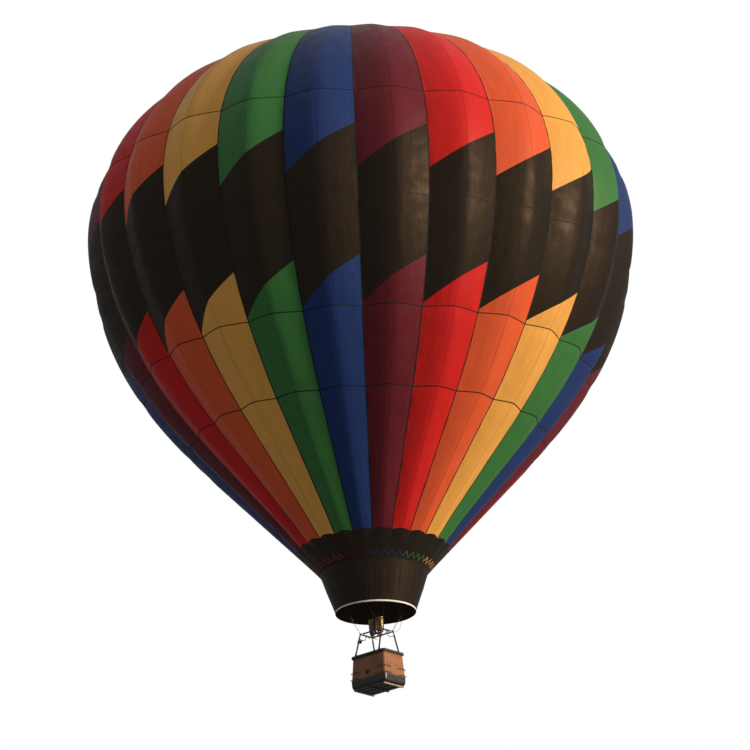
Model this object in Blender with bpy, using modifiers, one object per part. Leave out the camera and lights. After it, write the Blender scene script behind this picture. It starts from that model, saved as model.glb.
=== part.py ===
"""Hot air balloon: a sewn envelope of bulging gores over a wicker basket with a gimballed double burner.

Metres, +Z up. The origin is the centre of the envelope's widest ring, and the basket's long side runs
along X.
"""

import math

import bmesh
import bpy
from mathutils import Matrix, Vector

# Clearances
FIT = 0.0003
STRAP_FIT = 0.0014
VALVE_FIT = 0.007

# Envelope: the outline is that of the middle of a gore
WIDEST_R = 10.03
CROWN_Z = 7.6
CAP_POWER = 2.05
CONE_TOP_Z = -8.4
BASE_Z = -12.7
BASE_R = 1.93
WALL = 0.010
GORES = 24
GORE_STEPS = 4
GORE_PHASE = math.radians(-3.0)
BULGE_RATIO = 0.15
BULGE_FADE = 1.5
VENT_R = 2.45
VALVE_R = 2.75
UPPER_TAPE_Z = 1.9
LOWER_TAPE_Z = -5.6
BLACK_CONE_Z = -11.9

# Crown ring and the load tapes that cross the vent
CROWN_RING_IN_R = 0.11
CROWN_RING_OUT_R = 0.17
CROWN_RING_H = 0.016
TAPE_W = 0.05
TAPE_NARROW_W = 0.026
TAPE_T = 0.005
TAPE_MIDWAY_R = 1.1

# Skirt and its hem
MOUTH_Z = -14.1
MOUTH_R = 1.44
SKIRT_T = 0.008
HEM_H = 0.06
HEM_T = 0.012
SKIRT_STEPS = 48

# Flying wires: three to each corner of the load frame
WIRES_PER_CORNER = 3
WIRE_W = 0.007
THIMBLE_R = 1.86
THIMBLE_Z = -12.78
STRAP_TOP_Z = -12.45
STRAP_END_Z = -12.72
STRAP_W = 0.03

# Load frame, its lugs and the shackles in them
FRAME_Z = -14.9
FRAME_X = 0.52
FRAME_Y = 0.33
FRAME_CORNER_R = 0.06
FRAME_TUBE_R = 0.017
LUG_H = 0.058
LUG_W = 0.05
LUG_T = 0.010
LUG_HOLE_Z = 0.036
LUG_HOLE_R = 0.013
SHACKLE_R = 0.007
SHACKLE_HALF_W = 0.026
SHACKLE_HALF_H = 0.05
SHACKLE_SEAT = 0.004
SOCKET_R = 0.022
SOCKET_L = 0.10

# Gimbal: the ring tilts about X in the load frame, the burner about Y in the ring
GIMBAL_X = 0.44
GIMBAL_Y = 0.262
GIMBAL_TUBE_R = 0.012
GIMBAL_CORNER_R = 0.05
PIN_R = 0.010
PIN_BORE_R = 0.0108
BOSS_R = 0.022
BOSS_L = 0.046
HOSE_CLIP = 0.03

# Double burner, in metres from the pivot
CAN_X = 0.18
CAN_R = 0.135
CAN_WALL = 0.012
CAN_H = 0.52
COIL_TURNS = 5
COIL_BUMP = 0.011
BEAM_HALF = 0.03
CAN_BASE_Z = BEAM_HALF + FIT
BEAM_X = 0.30
BEAM_Y = 0.21
VALVE_BLOCK = (0.07, 0.11, 0.13)
LEVER_L = 0.15

# Hoses
HOSE_R = 0.011
HOSE_LEAD = 0.02
HOSE_DROP = 0.062

# Basket, in metres above the ground under its skids
GROUND_Z = -16.98
SKID_H = 0.05
SKID_W = 0.07
SKID_X = 0.70
SKID_Y = 0.52
BATTEN_Y = 0.30
FLOOR_T = 0.025
WALL_T = 0.040
WALL_TOP = 1.18
CORNER_R = 0.09
HIDE_TOP = 0.36
HIDE_T = 0.006
FOOT_HOLE_Z = 0.56
FOOT_HOLE = (0.17, 0.12)
HANDLE_ZS = (0.64, 0.40)
HANDLE_R = 0.012
HANDLE_REACH = 0.22
HANDLE_OFF = 0.045

# Outline of the wicker wall: height above the ground, half length, half width
WALL_LOOPS = (
    (WALL_TOP, 0.760, 0.510),
    (0.75, 0.785, 0.535),
    (0.33, 0.812, 0.562),
    (0.16, 0.806, 0.556),
    (0.09, 0.785, 0.535),
    (0.05, 0.750, 0.500),
)

# Section of the padded rim over the wall's outer top edge: outwards and up
RIM_SECTION = (
    (-0.030, 0.0),
    (-0.036, 0.045),
    (-0.032, 0.080),
    (-0.018, 0.096),
    (0.026, 0.096),
    (0.050, 0.080),
    (0.063, 0.045),
    (0.056, 0.006),
    (0.036, -0.016),
    (0.004, -0.016),
    (0.002, 0.0),
)
RIM_CREST = 0.096
RIM_MIDDLE = 0.015

# Uprights
UPRIGHT_R = 0.03
UPRIGHT_X = 0.56
POD_SIZE = (0.20, 0.05, 0.12)
POD_Z = -15.16

# Gas cylinders
CYLINDER_R = 0.148
CYLINDER_H = 0.88
CYLINDER_X = 0.55
CYLINDER_Y = 0.30

# Control line: where it is held, and the belly between
LINE_R = 0.007
LINE_FLAT_R = 0.0063
LINE_LEAD = 0.2
LINE_ANGLE = GORE_PHASE + 6 * 2 * math.pi / GORES
GUIDE_FOOT_Z = -12.66
GUIDE_SIZE = (0.05, 0.05, 0.08)
GUIDE_BEVEL = 0.006
GUIDE_SUNK = 0.0034
LINE_BELLY = ((0.17, 1.40, -13.72), (0.30, 1.00, -14.39), (0.38, 0.79, -14.68), (0.42, 0.50, -14.86))
LINE_END = (0.42, FRAME_Y, FRAME_Z + FRAME_TUBE_R + LINE_R + FIT)

CORNERS = ((1, 1), (-1, 1), (-1, -1), (1, -1))

COLOURS = {
    "coloured nylon": ((0.55, 0.10, 0.07), 0.45, 0.0),
    "black nylon": ((0.02, 0.02, 0.02), 0.5, 0.0),
    "webbing": ((0.35, 0.33, 0.30), 0.8, 0.0),
    "white hem": ((0.75, 0.73, 0.68), 0.7, 0.0),
    "steel": ((0.55, 0.55, 0.56), 0.3, 1.0),
    "dark cover": ((0.03, 0.03, 0.035), 0.7, 0.0),
    "wicker": ((0.42, 0.20, 0.08), 0.7, 0.0),
    "hide": ((0.04, 0.035, 0.03), 0.6, 0.0),
    "plywood": ((0.55, 0.40, 0.24), 0.6, 0.0),
    "red line": ((0.5, 0.03, 0.02), 0.7, 0.0),
    "hose rubber": ((0.02, 0.02, 0.02), 0.5, 0.0),
    "rope": ((0.10, 0.07, 0.05), 0.9, 0.0),
}


def clear_scene():
    for thing in list(bpy.data.objects):
        bpy.data.objects.remove(thing, do_unlink=True)


def make_collection(name, hidden=False):
    collection = bpy.data.collections.new(name)
    bpy.context.scene.collection.children.link(collection)
    collection.hide_render = hidden
    return collection


def material(name):
    found = bpy.data.materials.get(name)
    if found:
        return found
    colour, roughness, metallic = COLOURS[name]
    made = bpy.data.materials.new(name)
    made.use_nodes = True
    shader = made.node_tree.nodes["Principled BSDF"]
    shader.inputs["Base Color"].default_value = (*colour, 1.0)
    shader.inputs["Roughness"].default_value = roughness
    shader.inputs["Metallic"].default_value = metallic
    return made


def place(thing, finish, location=(0, 0, 0), parent=None, cutter=False):
    """Links an object, and gives it its material, place and parent."""
    thing.data.materials.append(material(finish))
    thing.location = location
    thing.parent = parent
    (CUTTERS if cutter else BALLOON).objects.link(thing)
    if cutter:
        thing.hide_render = True
        thing.display_type = "WIRE"
    return thing


def from_bmesh(name, bm):
    mesh = bpy.data.meshes.new(name)
    bm.to_mesh(mesh)
    bm.free()
    return bpy.data.objects.new(name, mesh)


def pivot(name, location):
    empty = bpy.data.objects.new(name, None)
    empty.location = location
    BALLOON.objects.link(empty)
    return empty


def loft(name, rings, closed=False):
    """A skin over equal rings of points, joined end to end where closed and else capped."""
    bm = bmesh.new()
    rows = [[bm.verts.new(p) for p in ring] for ring in rings]
    pairs = list(zip(rows, rows[1:]))
    if closed:
        pairs.append((rows[-1], rows[0]))
    for one, other in pairs:
        for i in range(len(one)):
            j = (i + 1) % len(one)
            bm.faces.new((one[i], one[j], other[j], other[i]))
    if not closed:
        bm.faces.new(rows[0])
        bm.faces.new(rows[-1])
    bmesh.ops.recalc_face_normals(bm, faces=bm.faces)
    return from_bmesh(name, bm)


def turned(name, profile, steps):
    """A solid turned about Z from (radius, height) points, top to bottom on its outer side."""
    bm = bmesh.new()
    verts = [bm.verts.new((r, 0, z)) for r, z in profile]
    for a, b in zip(verts, verts[1:]):
        bm.edges.new((a, b))
    if profile[0][0] > 0 or profile[-1][0] > 0:
        bm.edges.new((verts[-1], verts[0]))
    thing = from_bmesh(name, bm)
    screw = thing.modifiers.new("turn", "SCREW")
    screw.steps = steps
    screw.render_steps = steps
    screw.use_merge_vertices = True
    screw.merge_threshold = 0.0001
    return thing


def tube(name, points, radius, cyclic=False, resolution=1):
    """A tube along a line of points, as a mesh whose caps are welded on."""
    curve = bpy.data.curves.new(name, "CURVE")
    curve.dimensions = "3D"
    curve.bevel_depth = radius
    curve.bevel_resolution = resolution
    curve.use_fill_caps = not cyclic
    spline = curve.splines.new("POLY")
    spline.points.add(len(points) - 1)
    for slot, point in zip(spline.points, points):
        slot.co = (*point, 1.0)
    spline.use_cyclic_u = cyclic
    guide = bpy.data.objects.new(name + "_guide", curve)
    CUTTERS.objects.link(guide)
    depsgraph = bpy.context.evaluated_depsgraph_get()
    mesh = bpy.data.meshes.new_from_object(guide.evaluated_get(depsgraph))
    bpy.data.objects.remove(guide, do_unlink=True)
    bm = bmesh.new()
    bm.from_mesh(mesh)
    bmesh.ops.remove_doubles(bm, verts=bm.verts, dist=0.00005)
    bmesh.ops.recalc_face_normals(bm, faces=bm.faces)
    return from_bmesh(name, bm)


def rod(name, start, end, radius, sides=12):
    """A straight round bar between two points."""
    start, end = Vector(start), Vector(end)
    along = end - start
    turn = along.to_track_quat("Z", "Y").to_matrix().to_4x4()
    bm = bmesh.new()
    bmesh.ops.create_cone(
        bm,
        cap_ends=True,
        segments=sides,
        radius1=radius,
        radius2=radius,
        depth=along.length,
        matrix=Matrix.Translation((start + end) / 2) @ turn,
    )
    return from_bmesh(name, bm)


def block(name, size, centre=(0, 0, 0), axes=None, bevel=0.0):
    """A box, along the given three directions if there are any, with its edges bevelled."""
    turn = Matrix(axes).transposed().to_4x4() if axes else Matrix.Identity(4)
    bm = bmesh.new()
    bmesh.ops.create_cube(bm, size=1.0)
    bmesh.ops.scale(bm, vec=size, verts=bm.verts)
    if bevel:
        bmesh.ops.bevel(bm, geom=bm.edges, offset=bevel, segments=1, affect="EDGES")
    bmesh.ops.transform(bm, matrix=Matrix.Translation(centre) @ turn, verts=bm.verts)
    return from_bmesh(name, bm)


def combine(target, operand, finish, operation="UNION"):
    """Joins an operand to the target, or cuts it out, with an exact Boolean."""
    place(operand, finish, target.location, target.parent, cutter=True)
    boolean = target.modifiers.new(operation.lower(), "BOOLEAN")
    boolean.operation = operation
    boolean.object = operand
    boolean.solver = "EXACT"


def spread(low, high, steps):
    return [low + (high - low) * i / steps for i in range(steps + 1)]


def polar(radius, angle, z):
    return Vector((radius * math.cos(angle), radius * math.sin(angle), z))


def rounded_rectangle(half_x, half_y, radius, z, steps=3):
    """Points of a rectangle with round corners, anticlockwise from the +X side."""
    points = []
    for corner, (sx, sy) in enumerate(CORNERS):
        for angle in spread(corner * math.pi / 2, (corner + 1) * math.pi / 2, steps):
            x = sx * (half_x - radius) + radius * math.cos(angle)
            y = sy * (half_y - radius) + radius * math.sin(angle)
            points.append((x, y, z))
    return points


# Envelope


def bowl_bend():
    """The factor of the parabola under the widest ring that runs into the bottom cone without a kink."""
    return (WIDEST_R - BASE_R) / (CONE_TOP_Z**2 + 2 * CONE_TOP_Z * (BASE_Z - CONE_TOP_Z))


def gore_radius(z):
    """The outer radius at the middle of a gore: an oval cap, a parabola and a cone."""
    if z >= 0:
        return WIDEST_R * (1 - (z / CROWN_Z) ** CAP_POWER) ** (1 / CAP_POWER)
    if z >= CONE_TOP_Z:
        return WIDEST_R - bowl_bend() * z * z
    return BASE_R - 2 * bowl_bend() * CONE_TOP_Z * (z - BASE_Z)


def cap_height(radius):
    return CROWN_Z * (1 - (radius / WIDEST_R) ** CAP_POWER) ** (1 / CAP_POWER)


def outward(z):
    """The outline's outward normal, as its radial and vertical parts."""
    step = 0.0005
    slope = (gore_radius(z + step) - gore_radius(z - step)) / (2 * step)
    length = math.hypot(1.0, slope)
    return 1.0 / length, -slope / length


def bulge(z):
    """How far the middle of a gore stands outside its seams."""
    fade = min(1.0, (z - BASE_Z) / BULGE_FADE) * min(1.0, (cap_height(VENT_R) - z) / BULGE_FADE)
    return BULGE_RATIO * gore_radius(z) * 2 * math.pi / GORES * max(0.0, fade)


def gore_ring(z, inset=0.0):
    """The envelope's outline at one height, moved inwards by inset along its normal."""
    radial, vertical = outward(z)
    points = []
    for step in range(GORES * GORE_STEPS):
        across = (step % GORE_STEPS) / GORE_STEPS
        angle = GORE_PHASE + step * 2 * math.pi / (GORES * GORE_STEPS)
        radius = gore_radius(z) - bulge(z) * (2 * across - 1) ** 2
        points.append(polar(radius - inset * radial, angle, z - inset * vertical))
    return points


def cap_levels(top, bottom, steps):
    """Heights between two levels of the cap, at even angles."""
    turns = [math.acos((z / CROWN_Z) ** (CAP_POWER / 2)) for z in (top, bottom)]
    return [CROWN_Z * math.cos(t) ** (2 / CAP_POWER) for t in spread(*turns, steps)]


def panel_ring(name, levels, finish):
    """One ring of gore panels between two horizontal tapes, as a closed shell."""
    heights = [levels[0] - FIT / 2, *levels[1:-1], levels[-1] + FIT / 2]
    rings = [gore_ring(z) for z in heights]
    rings += [gore_ring(z, WALL) for z in reversed(heights)]
    return place(loft(name, rings, closed=True), finish)


def make_envelope():
    vent_z = cap_height(VENT_R)
    lap_z = cap_height(VALVE_R + 0.1)
    upper = [vent_z] + cap_levels(lap_z, UPPER_TAPE_Z, 4)
    lower = [LOWER_TAPE_Z, -7.0, CONE_TOP_Z, BLACK_CONE_Z]
    panel_ring("envelope_top_panels", upper, "coloured nylon")
    panel_ring("envelope_middle_panels", spread(UPPER_TAPE_Z, LOWER_TAPE_Z, 4), "black nylon")
    panel_ring("envelope_lower_panels", lower, "coloured nylon")
    panel_ring("envelope_base_cone", [BLACK_CONE_Z, BASE_Z], "black nylon")


def strip(bm, sections):
    """Adds a bar whose oblong sections are given as centre, side, up, width and thickness."""
    rows = []
    for centre, side, up, width, thickness in sections:
        corners = ((-1, -1), (1, -1), (1, 1), (-1, 1))
        rows.append(
            [bm.verts.new(centre + side * a * width / 2 + up * b * thickness / 2) for a, b in corners]
        )
    for one, other in zip(rows, rows[1:]):
        for i in range(4):
            j = (i + 1) % 4
            bm.faces.new((one[i], one[j], other[j], other[i]))
    bm.faces.new(rows[0])
    bm.faces.new(rows[-1])


def make_crown():
    """The crown ring, and the load tapes that run from it over the vent's edge."""
    ring_z = CROWN_Z + CROWN_RING_H / 2
    profile = [
        (CROWN_RING_OUT_R, ring_z + CROWN_RING_H / 2),
        (CROWN_RING_OUT_R, ring_z - CROWN_RING_H / 2),
        (CROWN_RING_IN_R, ring_z - CROWN_RING_H / 2),
        (CROWN_RING_IN_R, ring_z + CROWN_RING_H / 2),
    ]
    crown = place(turned("crown_ring_and_tapes", profile, GORES * 2), "webbing")
    bm = bmesh.new()
    lift = TAPE_T / 2 + FIT * 3
    stations = (
        (CROWN_RING_OUT_R - 0.02, TAPE_NARROW_W, ring_z),
        (TAPE_MIDWAY_R, TAPE_W, 0),
        (VENT_R, TAPE_W, 0),
        (VALVE_R + 0.1, TAPE_W, 0),
    )
    for gore in range(GORES):
        angle = GORE_PHASE + gore * 2 * math.pi / GORES
        side = Vector((-math.sin(angle), math.cos(angle), 0))
        sections = []
        for radius, width, z in stations:
            centre = polar(radius, angle, z or cap_height(radius) + lift)
            sections.append((centre, side, Vector((0, 0, 1)), width, TAPE_T))
        strip(bm, sections)
    bmesh.ops.recalc_face_normals(bm, faces=bm.faces)
    combine(crown, from_bmesh("crossing_tapes", bm), "webbing")


def make_valve():
    """The parachute valve: a domed panel that closes the vent from inside and is pulled down to open."""
    holder = pivot("valve_travel", (0, 0, cap_height(VALVE_R)))
    drop = WALL + VALVE_FIT + holder.location.z
    radii = (0.0, 1.2, 2.1, VALVE_R)
    top = [(r, cap_height(r) - drop) for r in radii]
    bottom = [(r, z - WALL) for r, z in reversed(top)]
    place(turned("parachute_valve", top + bottom, 48), "coloured nylon", parent=holder)


def make_skirt():
    depth = BASE_Z - MOUTH_Z
    outer = [
        (BASE_R, BASE_Z - FIT),
        (BASE_R - 0.19, BASE_Z - 0.42 * depth),
        (MOUTH_R, MOUTH_Z),
    ]
    inner = [(r - SKIRT_T, z) for r, z in reversed(outer)]
    place(turned("skirt", outer + inner, SKIRT_STEPS), "black nylon")
    top, bottom = MOUTH_Z - FIT, MOUTH_Z - HEM_H
    half = HEM_T / 2
    middle = MOUTH_R - SKIRT_T / 2
    hem = [(middle + half, top), (middle + half, bottom), (middle - half, bottom), (middle - half, top)]
    place(turned("skirt_hem", hem, SKIRT_STEPS), "white hem")


# Rigging and load frame


def corner_point(sx, sy, height=0.0):
    """The middle of a rounded corner of the load frame."""
    cut = FRAME_CORNER_R * (1 - math.sqrt(0.5))
    return Vector((sx * (FRAME_X - cut), sy * (FRAME_Y - cut), FRAME_Z + height))


def wire_angles(corner):
    pitch = 2 * math.pi / (4 * WIRES_PER_CORNER)
    first = GORE_PHASE + math.pi / GORES + corner * math.pi / 2
    return [first + i * pitch for i in range(WIRES_PER_CORNER)]


def pull(corner):
    """The direction in which one corner's wires pull together."""
    ends = [polar(THIMBLE_R, angle, THIMBLE_Z) for angle in wire_angles(corner)]
    middle = sum(ends, Vector()) / len(ends)
    return (middle - corner_point(*CORNERS[corner], LUG_HOLE_Z)).normalized()


def lug_axes(corner):
    """Across the lug's plate, along it and up."""
    along = pull(corner)
    along.z = 0
    along.normalize()
    return Vector((-along.y, along.x, 0)), along, Vector((0, 0, 1))


def wire_sections(angle, foot):
    """A wire from its webbing strap on the inside of the base cone, over the thimble, to its foot."""
    side = Vector((-math.sin(angle), math.cos(angle), 0))
    depth = WALL + STRAP_FIT + TAPE_T / 2
    sections = []
    for z in (STRAP_TOP_Z, STRAP_END_Z):
        radial, vertical = outward(z)
        centre = polar(gore_radius(z) - depth * radial, angle, z - depth * vertical)
        up = Vector((radial * math.cos(angle), radial * math.sin(angle), vertical))
        sections.append((centre, side, up, STRAP_W, TAPE_T))
    thimble = polar(THIMBLE_R, angle, THIMBLE_Z)
    down = (foot - thimble).normalized()
    up = side.cross(down).normalized()
    if up.dot(sections[0][2]) < 0:
        up.negate()
    sections.append((thimble, side, up, 0.02, 0.012))
    sections.append((thimble + down * 0.06, side, up, WIRE_W, WIRE_W))
    sections.append((foot, side, up, WIRE_W, WIRE_W))
    return sections


def make_wires(corner):
    """One corner's three wires, joined by the shackle that hooks into the load frame's lug."""
    up = pull(corner)
    across = lug_axes(corner)[0]
    hole = corner_point(*CORNERS[corner], LUG_HOLE_Z)
    straight = SHACKLE_HALF_H - SHACKLE_HALF_W
    centre = hole + up * (SHACKLE_HALF_H + SHACKLE_SEAT)
    oval = []
    for turn in range(12):
        angle = turn * 2 * math.pi / 12
        shift = math.copysign(straight, math.sin(angle)) if turn % 6 else 0.0
        rise = SHACKLE_HALF_W * math.sin(angle) + shift
        oval.append(centre + across * SHACKLE_HALF_W * math.cos(angle) + up * rise)
    name = f"flying_wires_{corner + 1}"
    shackle = place(tube(name, oval, SHACKLE_R, cyclic=True), "steel")
    bm = bmesh.new()
    crown = centre + up * SHACKLE_HALF_H
    for i, angle in enumerate(wire_angles(corner)):
        foot = crown + across * 0.010 * (i - 1) - up * 0.002
        strip(bm, wire_sections(angle, foot))
    bmesh.ops.recalc_face_normals(bm, faces=bm.faces)
    combine(shackle, from_bmesh(name + "_stays", bm), "steel")


def upright_ends(sx, sy):
    """An upright's line, from the load frame down to the crest of the basket's rim."""
    rim_y = WALL_LOOPS[0][2] + RIM_MIDDLE
    rim_z = GROUND_Z + WALL_TOP + FIT + RIM_CREST
    return corner_point(sx, sy), Vector((sx * UPRIGHT_X, sy * rim_y, rim_z))


def make_load_frame():
    loop = rounded_rectangle(FRAME_X, FRAME_Y, FRAME_CORNER_R, FRAME_Z)
    frame = place(tube("load_frame", loop, FRAME_TUBE_R, cyclic=True), "steel")
    for corner, (sx, sy) in enumerate(CORNERS):
        top, foot = upright_ends(sx, sy)
        down = (foot - top).normalized()
        combine(frame, rod(f"socket_{corner}", top, top + down * SOCKET_L, SOCKET_R), "steel")
        plate = block(
            f"lug_{corner}",
            (LUG_T, LUG_W, LUG_H),
            corner_point(sx, sy, LUG_H / 2),
            lug_axes(corner),
            bevel=0.002,
        )
        combine(frame, plate, "steel")
    for side in (-1, 1):
        middle = side * FRAME_X
        ends = [(middle + shift * BOSS_L / 2, 0, FRAME_Z) for shift in (-1, 1)]
        combine(frame, rod(f"frame_boss_{side}", *ends, BOSS_R), "steel")
    for side in (-1, 1):
        ends = [(side * FRAME_X + shift * BOSS_L, 0, FRAME_Z) for shift in (-1, 1)]
        combine(frame, rod(f"frame_bore_{side}", *ends, PIN_BORE_R), "steel", "DIFFERENCE")
    for corner, (sx, sy) in enumerate(CORNERS):
        hole = corner_point(sx, sy, LUG_HOLE_Z)
        across = lug_axes(corner)[0] * LUG_T
        cutter = rod(f"lug_hole_{corner}", hole - across, hole + across, LUG_HOLE_R)
        combine(frame, cutter, "steel", "DIFFERENCE")


def make_gimbal():
    holder = pivot("gimbal_pivot", (0, 0, FRAME_Z))
    loop = rounded_rectangle(GIMBAL_X, GIMBAL_Y, GIMBAL_CORNER_R, 0, 2)
    ring = tube("gimbal_ring", loop, GIMBAL_TUBE_R, cyclic=True)
    place(ring, "steel", parent=holder)
    for side in (-1, 1):
        pin_end = side * (FRAME_X + BOSS_L / 2)
        pin = rod(f"gimbal_pin_{side}", (side * GIMBAL_X, 0, 0), (pin_end, 0, 0), PIN_R)
        combine(ring, pin, "steel")
        ends = [(0, side * GIMBAL_Y + shift * BOSS_L / 2, 0) for shift in (-1, 1)]
        combine(ring, rod(f"gimbal_boss_{side}", *ends, BOSS_R), "steel")
        clip = block(f"hose_clip_{side}", (HOSE_CLIP,) * 3, clip_centre(side), bevel=0.002)
        combine(ring, clip, "steel")
    for side in (-1, 1):
        ends = [(0, side * GIMBAL_Y + shift * BOSS_L, 0) for shift in (-1, 1)]
        combine(ring, rod(f"gimbal_bore_{side}", *ends, PIN_BORE_R), "steel", "DIFFERENCE")


def clip_centre(side):
    """The hose clip under the gimbal ring's end bar, in metres from the pivot."""
    return (side * GIMBAL_X, side * 0.075, -GIMBAL_TUBE_R - HOSE_CLIP / 2 + 0.004)


def make_burner():
    """Two coil cans on one beam, with a valve block and a lever under each."""
    holder = pivot("burner_pivot", (0, 0, FRAME_Z))
    size = (2 * BEAM_X, 2 * BEAM_HALF, 2 * BEAM_HALF)
    beam = place(block("burner_beam", size, bevel=0.004), "steel", parent=holder)
    cross = block("burner_cross", (2 * BEAM_HALF, 2 * BEAM_Y, 2 * BEAM_HALF), bevel=0.004)
    combine(beam, cross, "steel")
    pin_end = GIMBAL_Y + BOSS_L / 2
    combine(beam, rod("burner_pins", (0, -pin_end, 0), (0, pin_end, 0), PIN_R), "steel")
    for side in (-1, 1):
        low = -BEAM_HALF - VALVE_BLOCK[2] / 2 + 0.005
        body = block(f"valve_body_{side}", VALVE_BLOCK, (side * CAN_X, 0, low), bevel=0.006)
        combine(beam, body, "steel")
        start = (side * CAN_X, -side * 0.04, low - 0.02)
        end = (side * CAN_X, -side * (0.04 + LEVER_L), low - 0.07)
        combine(beam, rod(f"blast_lever_{side}", start, end, 0.009, 10), "steel")
        name = "burner_can_left" if side < 0 else "burner_can_right"
        place(turned(name, can_profile(), 18), "steel", (side * CAN_X, 0, 0), holder)


def can_profile():
    """A can open at the top, whose outer side is wound with the turns of its vaporising coil."""
    base, top = CAN_BASE_Z, CAN_BASE_Z + CAN_H
    pitch = (CAN_H - 0.06) / COIL_TURNS
    points = [(CAN_R - 0.004, top)]
    for turn in range(COIL_TURNS):
        high = top - 0.01 - turn * pitch
        points += [
            (CAN_R - COIL_BUMP, high),
            (CAN_R, high - 0.25 * pitch),
            (CAN_R, high - 0.75 * pitch),
            (CAN_R - COIL_BUMP, high - pitch),
        ]
    points += [(CAN_R - COIL_BUMP, base + 0.012), (CAN_R - 0.03, base), (0, base), (0, base + 0.03)]
    inner = CAN_R - COIL_BUMP - CAN_WALL
    return points + [(inner, base + 0.03), (inner, top)]


# Soft lines


def smooth_route(points, steps=3):
    """Points along a Catmull-Rom curve through the given ones."""
    points = [Vector(p) for p in points]
    padded = [2 * points[0] - points[1], *points, 2 * points[-1] - points[-2]]
    route = []
    for a, b, c, d in zip(padded, padded[1:], padded[2:], padded[3:]):
        for i in range(steps):
            t = i / steps
            bend = 2 * a - 5 * b + 4 * c - d
            turn = 3 * b - a - 3 * c + d
            route.append((2 * b + (c - a) * t + bend * t * t + turn * t**3) / 2)
    return [*route, points[-1]]


def held_route(start, leaving, middle, end, arriving):
    """A smooth route that leaves its first seat and meets its last one squarely."""
    start, end = Vector(start), Vector(end)
    inner = [start + Vector(leaving) * HOSE_LEAD, *middle, end - Vector(arriving) * HOSE_LEAD]
    return [start, *smooth_route(inner), end]


def make_hoses(side, name):
    """A fuel hose from an upright to the gimbal ring's clip, and its jumper on to the valve block."""
    clip = Vector(clip_centre(side)) + Vector((0, 0, FRAME_Z))
    top, foot = upright_ends(side, side)
    down = (foot - top).normalized()
    inwards = Vector((0, -side, 0))
    inwards = (inwards - down * inwards.dot(down)).normalized()
    start = top + down * (SOCKET_L + HOSE_DROP) + inwards * (UPRIGHT_R + FIT)
    end = clip - Vector((0, 0, HOSE_CLIP / 2 + FIT))
    middle = [
        Vector((side * 0.485, side * 0.19, start.z - 0.035)),
        Vector((side * 0.455, side * 0.12, start.z - 0.02)),
    ]
    route = held_route(start, inwards, middle, end, (0, 0, 1))
    place(tube(f"fuel_hose_{name}", route, HOSE_R), "hose rubber")

    inlet = Vector((side * (CAN_X + VALVE_BLOCK[0] / 2 + FIT), side * 0.03, FRAME_Z - 0.10))
    outlet = clip - Vector((side * (HOSE_CLIP / 2 + FIT), 0, 0))
    middle = [Vector((side * 0.33, side * 0.06, FRAME_Z - 0.115))]
    route = held_route(outlet, (-side, 0, 0), middle, inlet, (-side, 0, 0))
    holder = bpy.data.objects["gimbal_pivot"]
    local = [p - holder.location for p in route]
    place(tube(f"hose_jumper_{name}", local, HOSE_R), "hose rubber", parent=holder)


def guide_middle():
    """The middle of the control line's guide, whose lower outer edge rests in the base cone."""
    seat = WALL / outward(GUIDE_FOOT_Z)[0] - GUIDE_SUNK + GUIDE_SIZE[0] / 2
    radius = gore_radius(GUIDE_FOOT_Z) - bulge(GUIDE_FOOT_Z) - seat
    return polar(radius, LINE_ANGLE, GUIDE_FOOT_Z + GUIDE_SIZE[2] / 2)


def make_control_line():
    middle = guide_middle()
    out = Vector((math.cos(LINE_ANGLE), math.sin(LINE_ANGLE), 0))
    up = Vector((0, 0, 1))
    guide = block("line_guide", GUIDE_SIZE, middle, (out, up.cross(out), up), bevel=GUIDE_BEVEL)
    place(guide, "steel")
    held = middle - out * (GUIDE_SIZE[0] / 2 + LINE_FLAT_R + FIT)
    top = Vector((0, 0, cap_height(0) - 2 * WALL - VALVE_FIT - 2 * FIT))
    belly = smooth_route([held, *LINE_BELLY, LINE_END])
    place(tube("control_line", [top, top - up * LINE_LEAD, *belly], LINE_R), "red line")


# Basket


def wall_loop(height, half_x, half_y, inset):
    """One outline of the wicker wall, moved inwards by inset."""
    return rounded_rectangle(half_x - inset, half_y - inset, CORNER_R - inset, height)


def wall_size(height):
    """The wall's outer half length and half width at a height."""
    for (z1, x1, y1), (z0, x0, y0) in zip(WALL_LOOPS, WALL_LOOPS[1:]):
        if height >= z0:
            share = (height - z0) / (z1 - z0)
            return x0 + (x1 - x0) * share, y0 + (y1 - y0) * share
    return WALL_LOOPS[-1][1:]


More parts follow.
